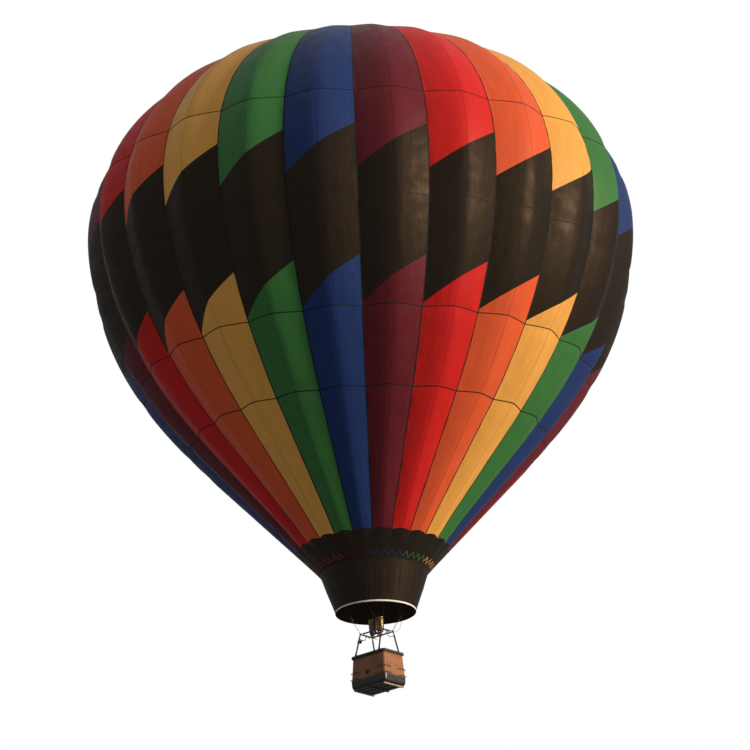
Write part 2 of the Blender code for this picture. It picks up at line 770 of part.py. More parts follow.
def make_basket():
    base = pivot("basket_base", (0, 0, GROUND_Z))
    rings = [wall_loop(z, x, y, 0.0) for z, x, y in WALL_LOOPS]
    rings += [wall_loop(z, x, y, WALL_T) for z, x, y in reversed(WALL_LOOPS)]
    walls = place(loft("wicker_walls", rings, closed=True), "wicker", parent=base)
    width, height = FOOT_HOLE
    holes = block("foot_holes_long", (width, 3.0, height), (0, 0, FOOT_HOLE_Z), bevel=0.02)
    combine(walls, holes, "wicker", "DIFFERENCE")

    loops = [(HIDE_TOP, *wall_size(HIDE_TOP))] + [loop for loop in WALL_LOOPS if loop[0] < HIDE_TOP]
    rings = [wall_loop(z, x, y, -FIT - HIDE_T) for z, x, y in loops]
    rings += [wall_loop(z, x, y, -FIT) for z, x, y in reversed(loops)]
    place(loft("hide_band", rings, closed=True), "hide", parent=base)

    floor_x, floor_y = (half - WALL_T - FIT for half in WALL_LOOPS[-1][1:])
    ring = rounded_rectangle(floor_x, floor_y, CORNER_R - WALL_T, SKID_H)
    lid = rounded_rectangle(floor_x, floor_y, CORNER_R - WALL_T, SKID_H + FLOOR_T)
    floor = place(loft("floor_and_skids", [ring, lid]), "plywood", parent=base)
    reach = SKID_H - 2 * FIT
    for x in (-SKID_X, 0, SKID_X):
        skid = block(f"skid_{x}", (SKID_W, 2 * SKID_Y, reach), (x, 0, reach / 2), bevel=0.004)
        combine(floor, skid, "plywood")
    sunk = 0.4 * FLOOR_T
    for y in (-BATTEN_Y, 0, BATTEN_Y):
        size = (2 * SKID_X, SKID_W, SKID_H / 2 + sunk)
        middle = SKID_H - SKID_H / 4 + sunk / 2
        combine(floor, block(f"batten_{y}", size, (0, y, middle), bevel=0.003), "plywood")

    top, half_x, half_y = WALL_LOOPS[0]
    rings = [wall_loop(top + FIT + up, half_x, half_y, -out) for out, up in RIM_SECTION]
    place(loft("padded_rim", rings, closed=True), "dark cover", parent=base)
    for corner, (sx, sy) in enumerate(CORNERS):
        for level, height in enumerate(HANDLE_ZS):
            route = handle_route(sx, sy, height)
            name = f"rope_handle_{corner + 1}_{'upper' if level == 0 else 'lower'}"
            place(tube(name, route, HANDLE_R), "rope", parent=base)


def handle_route(sx, sy, height):
    """A rope round one corner of the basket, whose two ends meet the wall."""
    half_x, half_y = wall_size(height)
    off = HANDLE_OFF + (HIDE_T if height < HIDE_TOP + 0.05 else 0)
    skin = FIT + 0.0005 + (HIDE_T + FIT if height < HIDE_TOP else 0)
    near = off * 0.6
    points = [
        (half_x - CORNER_R - HANDLE_REACH, half_y + skin),
        (half_x - CORNER_R - HANDLE_REACH, half_y + near),
        (half_x - CORNER_R - 0.10, half_y + off),
        (half_x - 0.035, half_y + off * 0.62),
        (half_x + off * 0.62, half_y - 0.035),
        (half_x + off, half_y - CORNER_R - 0.10),
        (half_x + near, half_y - CORNER_R - HANDLE_REACH),
        (half_x + skin, half_y - CORNER_R - HANDLE_REACH),
    ]
    return [(sx * x, sy * y, height) for x, y in points]


def make_uprights():
    for corner, (sx, sy) in enumerate(CORNERS):
        top, foot = upright_ends(sx, sy)
        down = (foot - top).normalized()
        tilt_lift = UPRIGHT_R * math.hypot(down.x, down.y)
        start = top + down * (SOCKET_L + FIT)
        end = foot - down * ((tilt_lift + FIT) / abs(down.z))
        place(rod(f"upright_{corner + 1}", start, end, UPRIGHT_R, 14), "dark cover")


def make_instrument():
    """A small instrument case on the inner side of one upright."""
    top, foot = upright_ends(-1, -1)
    down = (foot - top).normalized()
    beside = top + down * ((top.z - POD_Z) / abs(down.z))
    up = -down
    across = Vector((1, 0, 0))
    across = (across - up * across.dot(up)).normalized()
    back = up.cross(across)
    centre = beside + back * (UPRIGHT_R + POD_SIZE[1] / 2 + FIT)
    place(block("instrument_case", POD_SIZE, centre, (across, back, up), bevel=0.008), "dark cover")


def make_cylinders():
    base = bpy.data.objects["basket_base"]
    radius, height = CYLINDER_R, CYLINDER_H
    profile = [
        (radius * 0.62, height),
        (radius * 0.62, height - 0.07),
        (radius * 0.92, height - 0.12),
        (radius, height - 0.20),
        (radius, 0.08),
        (radius * 0.86, 0.03),
        (radius * 0.80, 0),
        (0, 0),
        (0, height - 0.09),
        (radius * 0.56, height - 0.09),
        (radius * 0.56, height),
    ]
    stand = SKID_H + FLOOR_T + FIT
    for corner, (sx, sy) in enumerate(CORNERS):
        thing = turned(f"gas_cylinder_{corner + 1}", profile, 18)
        place(thing, "steel", (sx * CYLINDER_X, sy * CYLINDER_Y, stand), base)


clear_scene()
BALLOON = make_collection("hot_air_balloon")
CUTTERS = make_collection("cutters", hidden=True)
make_envelope()
make_crown()
make_valve()
make_skirt()
for quarter in range(4):
    make_wires(quarter)
make_load_frame()
make_gimbal()
make_burner()
make_basket()
make_uprights()
make_instrument()
make_cylinders()
make_hoses(-1, "left")
make_hoses(1, "right")
make_control_line()
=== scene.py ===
"""Hot air balloon: a sewn envelope, its rigging, a gimballed double burner and a wicker basket.

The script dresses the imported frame. Everything is in metres and in the frame's own axes: the origin is the
centre of the envelope's widest ring, +Z is up, and X runs along the basket's long side.
"""

import logging
import random
from contextlib import contextmanager
from dataclasses import dataclass
from enum import Enum
from math import acos, cos, exp, hypot, pi, radians, sin, sqrt, tau
from typing import Iterator, Optional, Sequence

import bmesh
import bpy
import numpy as np
from mathutils import Matrix, Vector


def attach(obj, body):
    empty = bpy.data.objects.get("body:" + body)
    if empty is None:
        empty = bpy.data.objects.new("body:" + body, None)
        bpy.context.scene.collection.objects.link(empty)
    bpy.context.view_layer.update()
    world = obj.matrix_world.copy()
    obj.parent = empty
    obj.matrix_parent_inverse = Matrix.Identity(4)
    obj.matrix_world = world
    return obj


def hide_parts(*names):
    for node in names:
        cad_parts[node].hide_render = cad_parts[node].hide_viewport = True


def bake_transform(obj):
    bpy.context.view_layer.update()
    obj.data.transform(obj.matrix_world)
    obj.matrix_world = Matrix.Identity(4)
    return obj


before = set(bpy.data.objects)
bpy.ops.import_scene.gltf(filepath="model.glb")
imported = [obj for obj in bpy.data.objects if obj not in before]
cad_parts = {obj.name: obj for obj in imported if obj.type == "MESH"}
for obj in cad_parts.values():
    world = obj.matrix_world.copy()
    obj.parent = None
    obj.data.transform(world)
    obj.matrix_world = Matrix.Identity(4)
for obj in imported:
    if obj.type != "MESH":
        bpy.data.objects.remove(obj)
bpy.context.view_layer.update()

LOG = logging.getLogger("balloon")
FIT = 0.0003  # the gap that lets two neighbours touch without sharing a face
MERGE = 0.00002  # vertices nearer than this are one
CORNERS = ((1, 1), (-1, 1), (-1, -1), (1, -1))
PHASE = radians(-3.0)  # the turn of the first seam
BASE_Z = -12.7  # the foot of the envelope's cone
BASE_R = 1.93
FRAME_Z = -14.9  # the load frame's middle plane
GROUND_Z = -16.98  # the foot of the skids
BASKET_H = 1.18
WALL = 0.010  # the envelope's thickness in the part
VALVE_GAP = 0.007  # between the vent's edge and the valve under it
SMOOTH_TUBE = radians(50)
UP = Vector((0, 0, 1))
Point = Sequence[float]
Colour = tuple[float, float, float]
Thing = bpy.types.Object
Material = bpy.types.Material
Socket = bpy.types.NodeSocket


# Working with Blender


def deselect() -> None:
    """Leaves nothing selected, so that an operator acts on the next piece alone."""
    if bpy.context.object and bpy.context.object.mode != "OBJECT":
        bpy.ops.object.mode_set(mode="OBJECT")
    bpy.ops.object.select_all(action="DESELECT")


def choose(*things: Thing) -> Thing:
    """Selects these objects alone and makes the first one active.

    Args:
        things: The objects to select.

    Returns:
        The active object.
    """
    deselect()
    for thing in things:
        thing.select_set(True)
    bpy.context.view_layer.objects.active = things[0]
    return things[0]


@contextmanager
def editing(thing: Thing) -> Iterator[bmesh.types.BMesh]:
    """Opens an object in edit mode with nothing selected in it.

    Args:
        thing: The mesh object to edit.

    Returns:
        The mesh's live bmesh, for selecting faces and edges in code.
    """
    choose(thing)
    bpy.ops.object.mode_set(mode="EDIT")
    bpy.ops.mesh.select_mode(type="FACE")
    bpy.ops.mesh.select_all(action="DESELECT")
    yield bmesh.from_edit_mesh(thing.data)
    bpy.ops.object.mode_set(mode="OBJECT")


def linked(name: str, data: object) -> Thing:
    """A new object in the scene for this mesh or curve."""
    made = bpy.data.objects.new(name, data)
    bpy.context.scene.collection.objects.link(made)
    return made


def facing(spot: Point, way: Vector) -> Matrix:
    """A place whose Z points this way."""
    return Matrix.Translation(Vector(spot)) @ way.to_track_quat("Z", "Y").to_matrix().to_4x4()


def settle(thing: Thing) -> Thing:
    """Puts an object's place, turn and size into its mesh."""
    choose(thing)
    bpy.ops.object.transform_apply(location=True, rotation=True, scale=True)
    return thing


def outwards(thing: Thing) -> Thing:
    """Merges doubles and turns all the faces outwards.

    Args:
        thing: The mesh object to clean.

    Returns:
        The same object.
    """
    with editing(thing):
        bpy.ops.mesh.select_all(action="SELECT")
        bpy.ops.mesh.remove_doubles(threshold=MERGE)
        bpy.ops.mesh.normals_make_consistent(inside=False)
    return thing


def modify(thing: Thing, kind: str, **settings: object) -> Thing:
    """Adds a modifier and applies it.

    Args:
        thing: The mesh object.
        kind: The modifier's type, such as BEVEL.
        settings: The modifier's own settings.

    Returns:
        The same object.
    """
    choose(thing)
    modifier = thing.modifiers.new(kind.lower(), kind)
    for name, value in settings.items():
        setattr(modifier, name, value)
    bpy.ops.object.modifier_apply(modifier=modifier.name)
    return thing


def box(size: Point, centre: Point, bevel: float = 0.0, axes: Optional[Sequence[Vector]] = None) -> Thing:
    """A box with rounded edges.

    Args:
        size: Its three sides.
        centre: Its middle.
        bevel: The width of the rounding.
        axes: The directions of its sides, where they aren't the frame's.

    Returns:
        The new mesh object.
    """
    deselect()
    bpy.ops.mesh.primitive_cube_add(size=1.0, scale=tuple(size))
    made = bpy.context.object
    settle(made)
    if bevel:
        modify(made, "BEVEL", width=bevel, segments=2, limit_method="NONE")
    turn = Matrix([tuple(a) for a in axes]).transposed().to_4x4() if axes else Matrix.Identity(4)
    made.matrix_world = Matrix.Translation(Vector(centre)) @ turn
    return settle(made)


def rod(start: Point, end: Point, radius: float, sides: int = 16, bevel: float = 0.0) -> Thing:
    """A straight round bar.

    Args:
        start: The middle of its first end.
        end: The middle of its other end.
        radius: Its radius.
        sides: How many faces it has around.
        bevel: The rounding of its two rims.

    Returns:
        The new mesh object.
    """
    start, end = Vector(start), Vector(end)
    along = end - start
    deselect()
    bpy.ops.mesh.primitive_cylinder_add(vertices=sides, radius=radius, depth=along.length)
    made = bpy.context.object
    if bevel:
        modify(made, "BEVEL", width=bevel, segments=2, limit_method="ANGLE", angle_limit=radians(60))
    made.matrix_world = facing((start + end) / 2, along)
    return settle(made)


def ring(centre: Point, axis: Point, major: float, minor: float, steps: int = 24, sides: int = 8) -> Thing:
    """A round ring.

    Args:
        centre: Its middle.
        axis: The direction it turns about.
        major: The radius of its middle line.
        minor: The radius of its section.
        steps: How many sections it has.
        sides: How many faces each section has.

    Returns:
        The new mesh object.
    """
    deselect()
    bpy.ops.mesh.primitive_torus_add(
        major_radius=major, minor_radius=minor, major_segments=steps, minor_segments=sides
    )
    made = bpy.context.object
    made.matrix_world = facing(centre, Vector(axis))
    return settle(made)


def lathe(profile: Sequence[tuple[float, float]], centre: Point, steps: int = 32) -> Thing:
    """A solid turned about a vertical line by the spin operator.

    Args:
        profile: Points (radius, height); the first and last lie on the axis, or else the profile is closed.
        centre: The point that heights and radii are counted from.
        steps: How many steps the spin has.

    Returns:
        The new mesh object.
    """
    closed = profile[0][0] > 0
    count = len(profile)
    edges = [(i, i + 1) for i in range(count - 1)] + ([(count - 1, 0)] if closed else [])
    mesh = bpy.data.meshes.new("turned")
    mesh.from_pydata([(r, 0.0, z) for r, z in profile], edges, [])
    made = linked("turned", mesh)
    with editing(made):
        bpy.ops.mesh.select_all(action="SELECT")
        bpy.ops.mesh.spin(steps=steps, angle=tau, center=(0, 0, 0), axis=(0, 0, 1))
    outwards(made)
    made.location = centre
    return settle(made)


def tube(points: Sequence[Point], radius: float, cyclic: bool = False, sides: int = 8) -> Thing:
    """A tube along a line of points, with closed ends.

    Args:
        points: The line.
        radius: The tube's radius.
        cyclic: Whether the line closes on itself.
        sides: How many faces it has around, an even number from 4.

    Returns:
        The new mesh object.
    """
    curve = bpy.data.curves.new("line", "CURVE")
    curve.dimensions = "3D"
    curve.bevel_depth = radius
    curve.bevel_resolution = max(0, (sides - 4) // 2)
    curve.use_fill_caps = not cyclic
    spline = curve.splines.new("POLY")
    spline.points.add(len(points) - 1)
    for slot, point in zip(spline.points, points):
        slot.co = (*point, 1.0)
    spline.use_cyclic_u = cyclic
    made = linked("line", curve)
    choose(made)
    bpy.ops.object.convert(target="MESH")
    return outwards(bpy.context.object)


def from_grid(name: str, points: np.ndarray, close_across: bool = False, flip: bool = False) -> Thing:
    """A sheet of four-sided faces over a grid of points.

    Args:
        name: The object's name.
        points: An array of rows, columns and three coordinates.
        close_across: Whether the last column joins the first.
        flip: Whether the faces turn the other way.

    Returns:
        The new mesh object; face number row * columns + column keeps the grid's order.
    """
    rows, columns = points.shape[:2]
    spans = columns if close_across else columns - 1
    r, c = np.meshgrid(np.arange(rows - 1), np.arange(spans), indexing="ij")
    right = (c + 1) % columns
    faces = np.stack([r * columns + c, r * columns + right, (r + 1) * columns + right, (r + 1) * columns + c], -1)
    faces = faces.reshape(-1, 4)
    if flip:
        faces = faces[:, ::-1]
    mesh = bpy.data.meshes.new(name)
    mesh.from_pydata(points.reshape(-1, 3).tolist(), [], faces.tolist())
    made = linked(name, mesh)
    return made


def loft(rings: np.ndarray, caps: bool = False) -> Thing:
    """A skin over rings of points; without caps the last ring joins the first.

    Args:
        rings: An array of rings, points and three coordinates.
        caps: Whether the two ends are closed with a face each.

    Returns:
        The new mesh object.
    """
    points = rings if caps else np.concatenate([rings, rings[:1]])
    made = from_grid("loft", points, close_across=True)
    if caps:
        with editing(made):
            bpy.ops.mesh.select_mode(type="EDGE")
            bpy.ops.mesh.select_non_manifold()
            bpy.ops.mesh.fill_holes(sides=0)
    return outwards(made)


def strap(sections: Sequence[tuple[Vector, Vector, Vector]], width: float, thick: float) -> Thing:
    """A flat strap along a line of stations.

    Args:
        sections: For each station its middle, its side direction and its outward direction.
        width: The strap's width.
        thick: Its thickness.

    Returns:
        The new mesh object.
    """
    rows = []
    for middle, side, out in sections:
        a, b = side * width / 2, out * thick / 2
        rows.append([middle - a - b, middle + a - b, middle + a + b, middle - a + b])
    return loft(np.array([[tuple(p) for p in row] for row in rows]), caps=True)


def laid_rope(points: Sequence[Point], radius: float, pitch: float, sides: int = 9) -> Thing:
    """A rope of three laid strands along a line.

    Args:
        points: The line, evenly spaced.
        radius: The rope's outer radius.
        pitch: The length of one turn of a strand.
        sides: How many faces it has around.

    Returns:
        The new mesh object.
    """
    line = [Vector(p) for p in points]
    side = UP if abs((line[1] - line[0]).normalized().z) < 0.9 else Vector((1, 0, 0))
    rings, gone = [], 0.0
    for i, point in enumerate(line):
        along = (line[min(i + 1, len(line) - 1)] - line[max(i - 1, 0)]).normalized()
        side = (side - along * side.dot(along)).normalized()
        other = along.cross(side)
        gone += (point - line[i - 1]).length if i else 0.0
        row = []
        for k in range(sides):
            angle = tau * k / sides
            r = radius * (0.9 + 0.1 * cos(3 * (angle - tau * gone / pitch)))
            row.append(tuple(point + (side * cos(angle) + other * sin(angle)) * r))
        rings.append(row)
    return loft(np.array(rings), caps=True)


def smooth_route(points: Sequence[Point], steps: int = 6) -> list[Vector]:
    """Points along a Catmull-Rom curve through the given ones.

    Args:
        points: The points the curve passes.
        steps: How many steps it takes from one to the next.

    Returns:
        The curve's points.
    """
    line = [Vector(p) for p in points]
    line = [2 * line[0] - line[1], *line, 2 * line[-1] - line[-2]]
    route = []
    for a, b, c, d in zip(line, line[1:], line[2:], line[3:]):
        for i in range(steps):
            t = i / steps
            bend = 2 * a - 5 * b + 4 * c - d
            turn = 3 * b - a - 3 * c + d
            route.append((2 * b + (c - a) * t + bend * t * t + turn * t**3) / 2)
    return [*route, line[-2]]


def rounded_rectangle(half_x: float, half_y: float, radius: float, z: float, steps: int = 8) -> list[tuple]:
    """Points of a rectangle with round corners, anticlockwise from the +X side.

    Args:
        half_x: Half its length.
        half_y: Half its width.
        radius: The radius of its corners.
        z: Its height.
        steps: How many steps a corner has.

    Returns:
        Its points.
    """
    points = []
    for corner, (sx, sy) in enumerate(CORNERS):
        for i in range(steps + 1):
            angle = (corner + i / steps) * pi / 2
            x = sx * (half_x - radius) + radius * cos(angle)
            y = sy * (half_y - radius) + radius * sin(angle)
            points.append((x, y, z))
    return points


def paint(thing: Thing, finish: Material) -> Thing:
    """Gives an object one material all over."""
    thing.data.materials.clear()
    thing.data.materials.append(finish)
    return thing


class Kit(list):
    """The parts of one piece, each painted as it is added."""

    def add(self, finish: Material, *parts: Thing) -> None:
        """Paints these parts and adds them."""
        self.extend(paint(part, finish) for part in parts)


def join(name: str, parts: Sequence[Thing]) -> Thing:
    """Joins parts into one object, each with the material it has.

    Args:
        name: The joined object's name.
        parts: The objects to join.

    Returns:
        The joined object.
    """
    choose(*parts)
    if len(parts) > 1:
        bpy.ops.object.join()
    made = bpy.context.object
    made.name = name
    made.data.name = name
    return made


def copies(thing: Thing, places: Sequence[Matrix]) -> Thing:
    """Copies a small shape to many places as one object, and removes the shape itself.

    Args:
        thing: The shape, at the origin.
        places: Where each copy goes.

    Returns:
        The new mesh object, with the shape's first material.
    """
    source = thing.data
    points = np.array([(*v.co, 1.0) for v in source.vertices])
    spots = np.concatenate([(points @ np.array(m).T)[:, :3] for m in places])
    faces = [[v + i * len(points) for v in face.vertices] for i in range(len(places)) for face in source.polygons]
    mesh = bpy.data.meshes.new(thing.name)
    mesh.from_pydata(spots.tolist(), [], faces)
    for finish in source.materials:
        mesh.materials.append(finish)
    made = linked(thing.name, mesh)
    bpy.data.objects.remove(thing, do_unlink=True)
    return made


def standing(place_at: Vector, x: Vector, y: Vector) -> Matrix:
    """A place with these two directions as its X and Y.

    Args:
        place_at: The place.
        x: Its X direction.
        y: Its Y direction, which is squared to X.

    Returns:
        The matrix.
    """
    x = x.normalized()
    z = x.cross(y).normalized()
    return Matrix.Translation(place_at) @ Matrix((x, z.cross(x), z)).transposed().to_4x4()


def place(
    thing: Thing, body: str, stands_for: Sequence[str] = (), smooth: float = 35.0
) -> Thing:
    """Shades a finished piece, puts it on its body and reports it.

    Args:
        thing: The finished piece.
        body: The body it rides on.
        stands_for: The nodes it is shown in place of.
        smooth: The angle in degrees under which its faces shade smoothly.

    Returns:
        The same object.
    """
    choose(thing)
    bpy.ops.object.shade_smooth_by_angle(angle=radians(smooth))
    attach(thing, body)
    if stands_for:
        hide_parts(*stands_for)
    LOG.info("%s: %d faces on %s", thing.name, len(thing.data.polygons), body)
    return thing


# Finishes


class Graph:
    """A material's node tree, with short calls for the nodes that the finishes share."""

    def __init__(self, name: str, roughness: float, metallic: float = 0.0) -> None:
        """Starts a material with one Principled shader."""
        self.material = bpy.data.materials.new(name)
        self.material.use_nodes = True
        self.tree = self.material.node_tree
        self.shader = self.tree.nodes["Principled BSDF"]
        self.set("Roughness", roughness)
        self.set("Metallic", metallic)

    def set(self, socket: str, value: object) -> None:
        """Sets a constant on the shader's own socket."""
        self.shader.inputs[socket].default_value = value

    def feed(self, node: bpy.types.Node, socket: object, value: object) -> None:
        """Links a socket's value where it is a socket, and sets it where it is a number or a colour."""
        slot = node.inputs[socket]
        if isinstance(value, Socket):
            self.tree.links.new(value, slot)
        else:
            slot.default_value = (*value, 1.0) if slot.type == "RGBA" else value

    def node(self, kind: str, inputs: Optional[dict] = None, **settings: object) -> bpy.types.Node:
        """Adds a node with these inputs and settings."""
        made = self.tree.nodes.new("ShaderNode" + kind)
        for name, value in settings.items():
            setattr(made, name, value)
        for socket, value in (inputs or {}).items():
            self.feed(made, socket, value)
        return made

    def coords(self, scale: Point = (1, 1, 1), uv: bool = False, turn: Point = (0, 0, 0)) -> Socket:
        """Object coordinates in metres, or the piece's own UV map, stretched and turned."""
        source = self.node("TexCoord").outputs["UV" if uv else "Object"]
        return self.node("Mapping", {"Scale": scale, "Rotation": turn, "Vector": source}).outputs["Vector"]

    def noise(self, vector: Socket, scale: float, detail: float = 3.0) -> Socket:
        """Noise from 0 to 1."""
        return self.node("TexNoise", {"Vector": vector, "Scale": scale, "Detail": detail}).outputs["Fac"]

    def wave(self, vector: Socket, scale: float, axis: str = "X", warp: float = 0.0) -> Socket:
        """Parallel waves from 0 to 1 along an axis."""
        inputs = {"Vector": vector, "Scale": scale, "Distortion": warp}
        return self.node("TexWave", inputs, bands_direction=axis).outputs["Fac"]

    def cells(self, vector: Socket, scale: float) -> Socket:
        """The distance to the middle of the nearest cell."""
        return self.node("TexVoronoi", {"Vector": vector, "Scale": scale}).outputs["Distance"]

    def attribute(self, name: str) -> Socket:
        """One number that the piece's mesh carries."""
        return self.node("Attribute", attribute_name=name).outputs["Fac"]

    def maths(self, kind: str, a: object, b: object = 0.0) -> Socket:
        """One step of arithmetic."""
        return self.node("Math", {0: a, 1: b}, operation=kind).outputs[0]

    def band(self, value: Socket, low: float, high: float, to: Point = (0, 1)) -> Socket:
        """Maps a range of a value to another range, and holds it at the ends."""
        return self.node("MapRange", {1: low, 2: high, 3: to[0], 4: to[1], 0: value}).outputs[0]

    def mix(self, share: object, a: object, b: object) -> Socket:
        """Mixes two colours."""
        return self.node("MixRGB", {0: share, 1: a, 2: b}).outputs[0]

    def bump(self, height: Socket, distance: float, strength: float = 1.0, under: object = None) -> Socket:
        """Relief of this height in metres, over another relief where one is given."""
        inputs = {"Strength": strength, "Distance": distance, "Height": height}
        if under is not None:
            inputs["Normal"] = under
        return self.node("Bump", inputs).outputs[0]

    def done(self, colour: object, roughness: object = None, normal: object = None) -> Material:
        """Feeds the shader and returns the material."""
        for socket, value in (("Base Color", colour), ("Roughness", roughness), ("Normal", normal)):
            if value is not None:
                self.feed(self.shader, socket, value)
        return self.material


def shade(colour: Colour, by: float) -> Colour:
    """A colour made lighter or darker by a factor."""
    return tuple(min(1.0, channel * by) for channel in colour)


class Dye(Enum):
    """The colours that the cloth comes in: the six that go round the envelope, in order, then the plain one."""

    MAROON = (0.105, 0.010, 0.016)
    RED = (0.500, 0.013, 0.011)
    ORANGE = (0.600, 0.085, 0.026)
    AMBER = (0.700, 0.330, 0.066)
    GREEN = (0.036, 0.150, 0.036)
    BLUE = (0.013, 0.032, 0.120)
    BLACK = (0.0125, 0.0096, 0.0068)


ROUND = (Dye.MAROON, Dye.RED, Dye.ORANGE, Dye.AMBER, Dye.GREEN, Dye.BLUE)


@dataclass(frozen=True)
class RipstopNylon:
    """Coated balloon cloth: a ripstop grid, creases, a sewn centre seam, and a faint painted glow of its own dye colour
    that stands in for light coming through.
    """

    dye: Dye
    seam: float = 0.016
    grid: float = 0.008

    def build(self) -> Material:
        """Makes the material; the UV map is metres from the gore's centre seam and metres of height."""
        g = Graph("nylon_" + self.dye.name.lower(), 0.42)
        base = self.dye.value
        space, cut = g.coords(), g.coords(uv=True)
        across = g.maths("ABSOLUTE", g.node("SeparateXYZ", {0: cut}).outputs[0])
        colour = g.mix(g.noise(space, 0.45, 4), shade(base, 0.84), shade(base, 1.14))
        streaks = g.noise(g.coords((2.2, 0.25, 1), uv=True), 2.0, 4)
        colour = g.mix(g.band(streaks, 0.35, 0.7, (0, 0.35)), colour, shade(base, 0.72))
        line = g.band(across, self.seam * 0.6, self.seam * 1.4, (0.5, 0))
        colour = g.mix(line, colour, shade(base, 0.35))
        threads = g.maths("MAXIMUM", g.wave(cut, 1 / self.grid, "X"), g.wave(cut, 1 / self.grid, "Y"))
        relief = g.bump(threads, 0.0002, 0.35)
        creases = g.noise(g.coords((1.6, 0.45, 1), uv=True), 1.3, 5)
        relief = g.bump(creases, 0.05, 0.55, relief)
        relief = g.bump(g.band(across, self.seam, self.seam * 2, (1, 0)), 0.002, 0.6, relief)
        dark = self.dye is Dye.BLACK
        g.set("Sheen Weight", 0.01 if dark else 0.03)
        g.set("Sheen Roughness", 0.4)
        g.set("Sheen Tint", (1.0, 0.62, 0.42, 1.0) if dark else (1.0, 0.84, 0.72, 1.0))
        g.set("Specular IOR Level", 0.13 if dark else 0.15)
        # Painted glow: the cloth emits a little of its own dye colour, standing in for light that shines through it.
        g.set("Emission Color", (*base, 1.0))
        g.set("Emission Strength", 0.30 if dark else 0.05)
        g.set("Specular Tint", (1.0, 0.62, 0.36, 1.0) if dark else (1.0, 0.93, 0.88, 1.0))
        return g.done(colour, g.band(g.noise(space, 2.0), 0.3, 0.7, (0.42, 0.58)), relief)


@dataclass(frozen=True)
class Webbing:
    """Woven polyester tape with a herringbone relief, painted shade in the relief's grooves, and dirt along it."""

    name: str
    colour: Colour
    rib: float = 0.003

    def build(self) -> Material:
        """Makes the material on object coordinates."""
        g = Graph(self.name, 0.8)
        space = g.coords()
        ribs = g.wave(g.coords(turn=(0.6, 0.4, 0.3)), 1 / self.rib / 6.28, "DIAGONAL", 1.5)
        colour = g.mix(g.noise(space, 4.0, 5), shade(self.colour, 0.65), shade(self.colour, 1.25))
        # Painted shade: the colour darkens where the ribs' relief is low.
        colour = g.mix(g.band(ribs, 0.0, 1.0, (0.25, 0.0)), colour, shade(self.colour, 0.4))
        g.set("Sheen Weight", 0.04)
        g.set("Specular IOR Level", 0.2)
        return g.done(colour, g.band(g.noise(space, 9.0), 0.3, 0.7, (0.65, 0.9)), g.bump(ribs, 0.0006, 0.8))


@dataclass(frozen=True)
class Metal:
    """Bare or tinted metal: brushed lines, smudges and a little dirt."""

    name: str
    colour: Colour
    tint: Optional[Colour] = None
    roughness: float = 0.28
    lines: float = 900.0

    def build(self) -> Material:
        """Makes the material on object coordinates."""
        g = Graph(self.name, self.roughness, 1.0)
        space = g.coords()
        patches = g.noise(space, 14.0, 6)
        colour = g.mix(patches, shade(self.colour, 0.72), shade(self.colour, 1.12))
        if self.tint:
            colour = g.mix(g.band(g.noise(g.coords((1, 1, 3)), 5.0, 4), 0.4, 0.62), colour, self.tint)
        brushed = g.noise(g.coords((1.0, 1.0, 0.03)), self.lines, 2)
        smudges = g.maths("ADD", g.noise(space, 30.0, 5), g.maths("MULTIPLY", brushed, 0.3))
        rough = g.band(smudges, 0.4, 0.95, (self.roughness * 0.7, self.roughness * 1.7))
        return g.done(colour, rough, g.bump(brushed, 0.0002, 0.25))


@dataclass(frozen=True)
class Leather:
    """Thick leather with a pebbled grain, creases and pale scuffs on its wear."""

    name: str
    colour: Colour
    scuff: Colour
    worn: float = 0.5
    pebble: float = 260.0
    gloss: tuple = (0.42, 0.8)

    def build(self) -> Material:
        """Makes the material on object coordinates."""
        g = Graph(self.name, 0.55)
        space = g.coords()
        colour = g.mix(g.noise(space, 5.0, 6), shade(self.colour, 0.6), shade(self.colour, 1.5))
        marks = g.band(g.noise(g.coords((1, 1, 2.6)), 9.0, 9), 0.62 - 0.1 * self.worn, 0.78, (0, self.worn))
        colour = g.mix(marks, colour, self.scuff)
        grain = g.cells(space, self.pebble)
        relief = g.bump(grain, 0.0008, 0.6)
        relief = g.bump(g.noise(g.coords((1, 1, 0.5)), 18.0, 7), 0.006, 0.5, relief)
        rough = g.band(g.maths("ADD", marks, g.noise(space, 25.0, 4)), 0.3, 1.1, self.gloss)
        return g.done(colour, rough, relief)


@dataclass(frozen=True)
class Willow:
    """Peeled willow rods: each strand its own tone, with fibre lines, painted shade in the gaps and hollows of the
    weave, and weathering.
    """

    name: str = "willow"
    light: Colour = (0.60, 0.215, 0.064)
    dark: Colour = (0.150, 0.046, 0.016)

    def build(self) -> Material:
        """Makes the material from the weave's own strand and depth attributes."""
        g = Graph(self.name, 0.5)
        tone, deep = g.attribute("strand"), g.attribute("depth")
        colour = g.mix(g.band(tone, 0.0, 1.0, (0.5, 0.95)), self.dark, self.light)
        lines = g.noise(g.coords((1, 1, 18)), 7.0, 6)
        colour = g.mix(g.band(lines, 0.4, 0.75, (0, 0.45)), colour, shade(self.dark, 0.7))
        colour = g.mix(g.band(g.noise(g.coords(), 2.4, 4), 0.45, 0.7, (0, 0.4)), colour, shade(self.light, 1.25))
        # Painted shade: the gaps between rows and the dips where a rod passes under a stake are darkened by the depth
        # attribute.
        colour = g.mix(g.band(deep, 0.1, 0.55, (0.85, 0)), colour, shade(self.dark, 0.12))
        fibre = g.noise(g.coords((1, 1, 14)), 120.0, 4)
        return g.done(colour, g.band(fibre, 0.3, 0.7, (0.38, 0.62)), g.bump(fibre, 0.0006, 0.5))


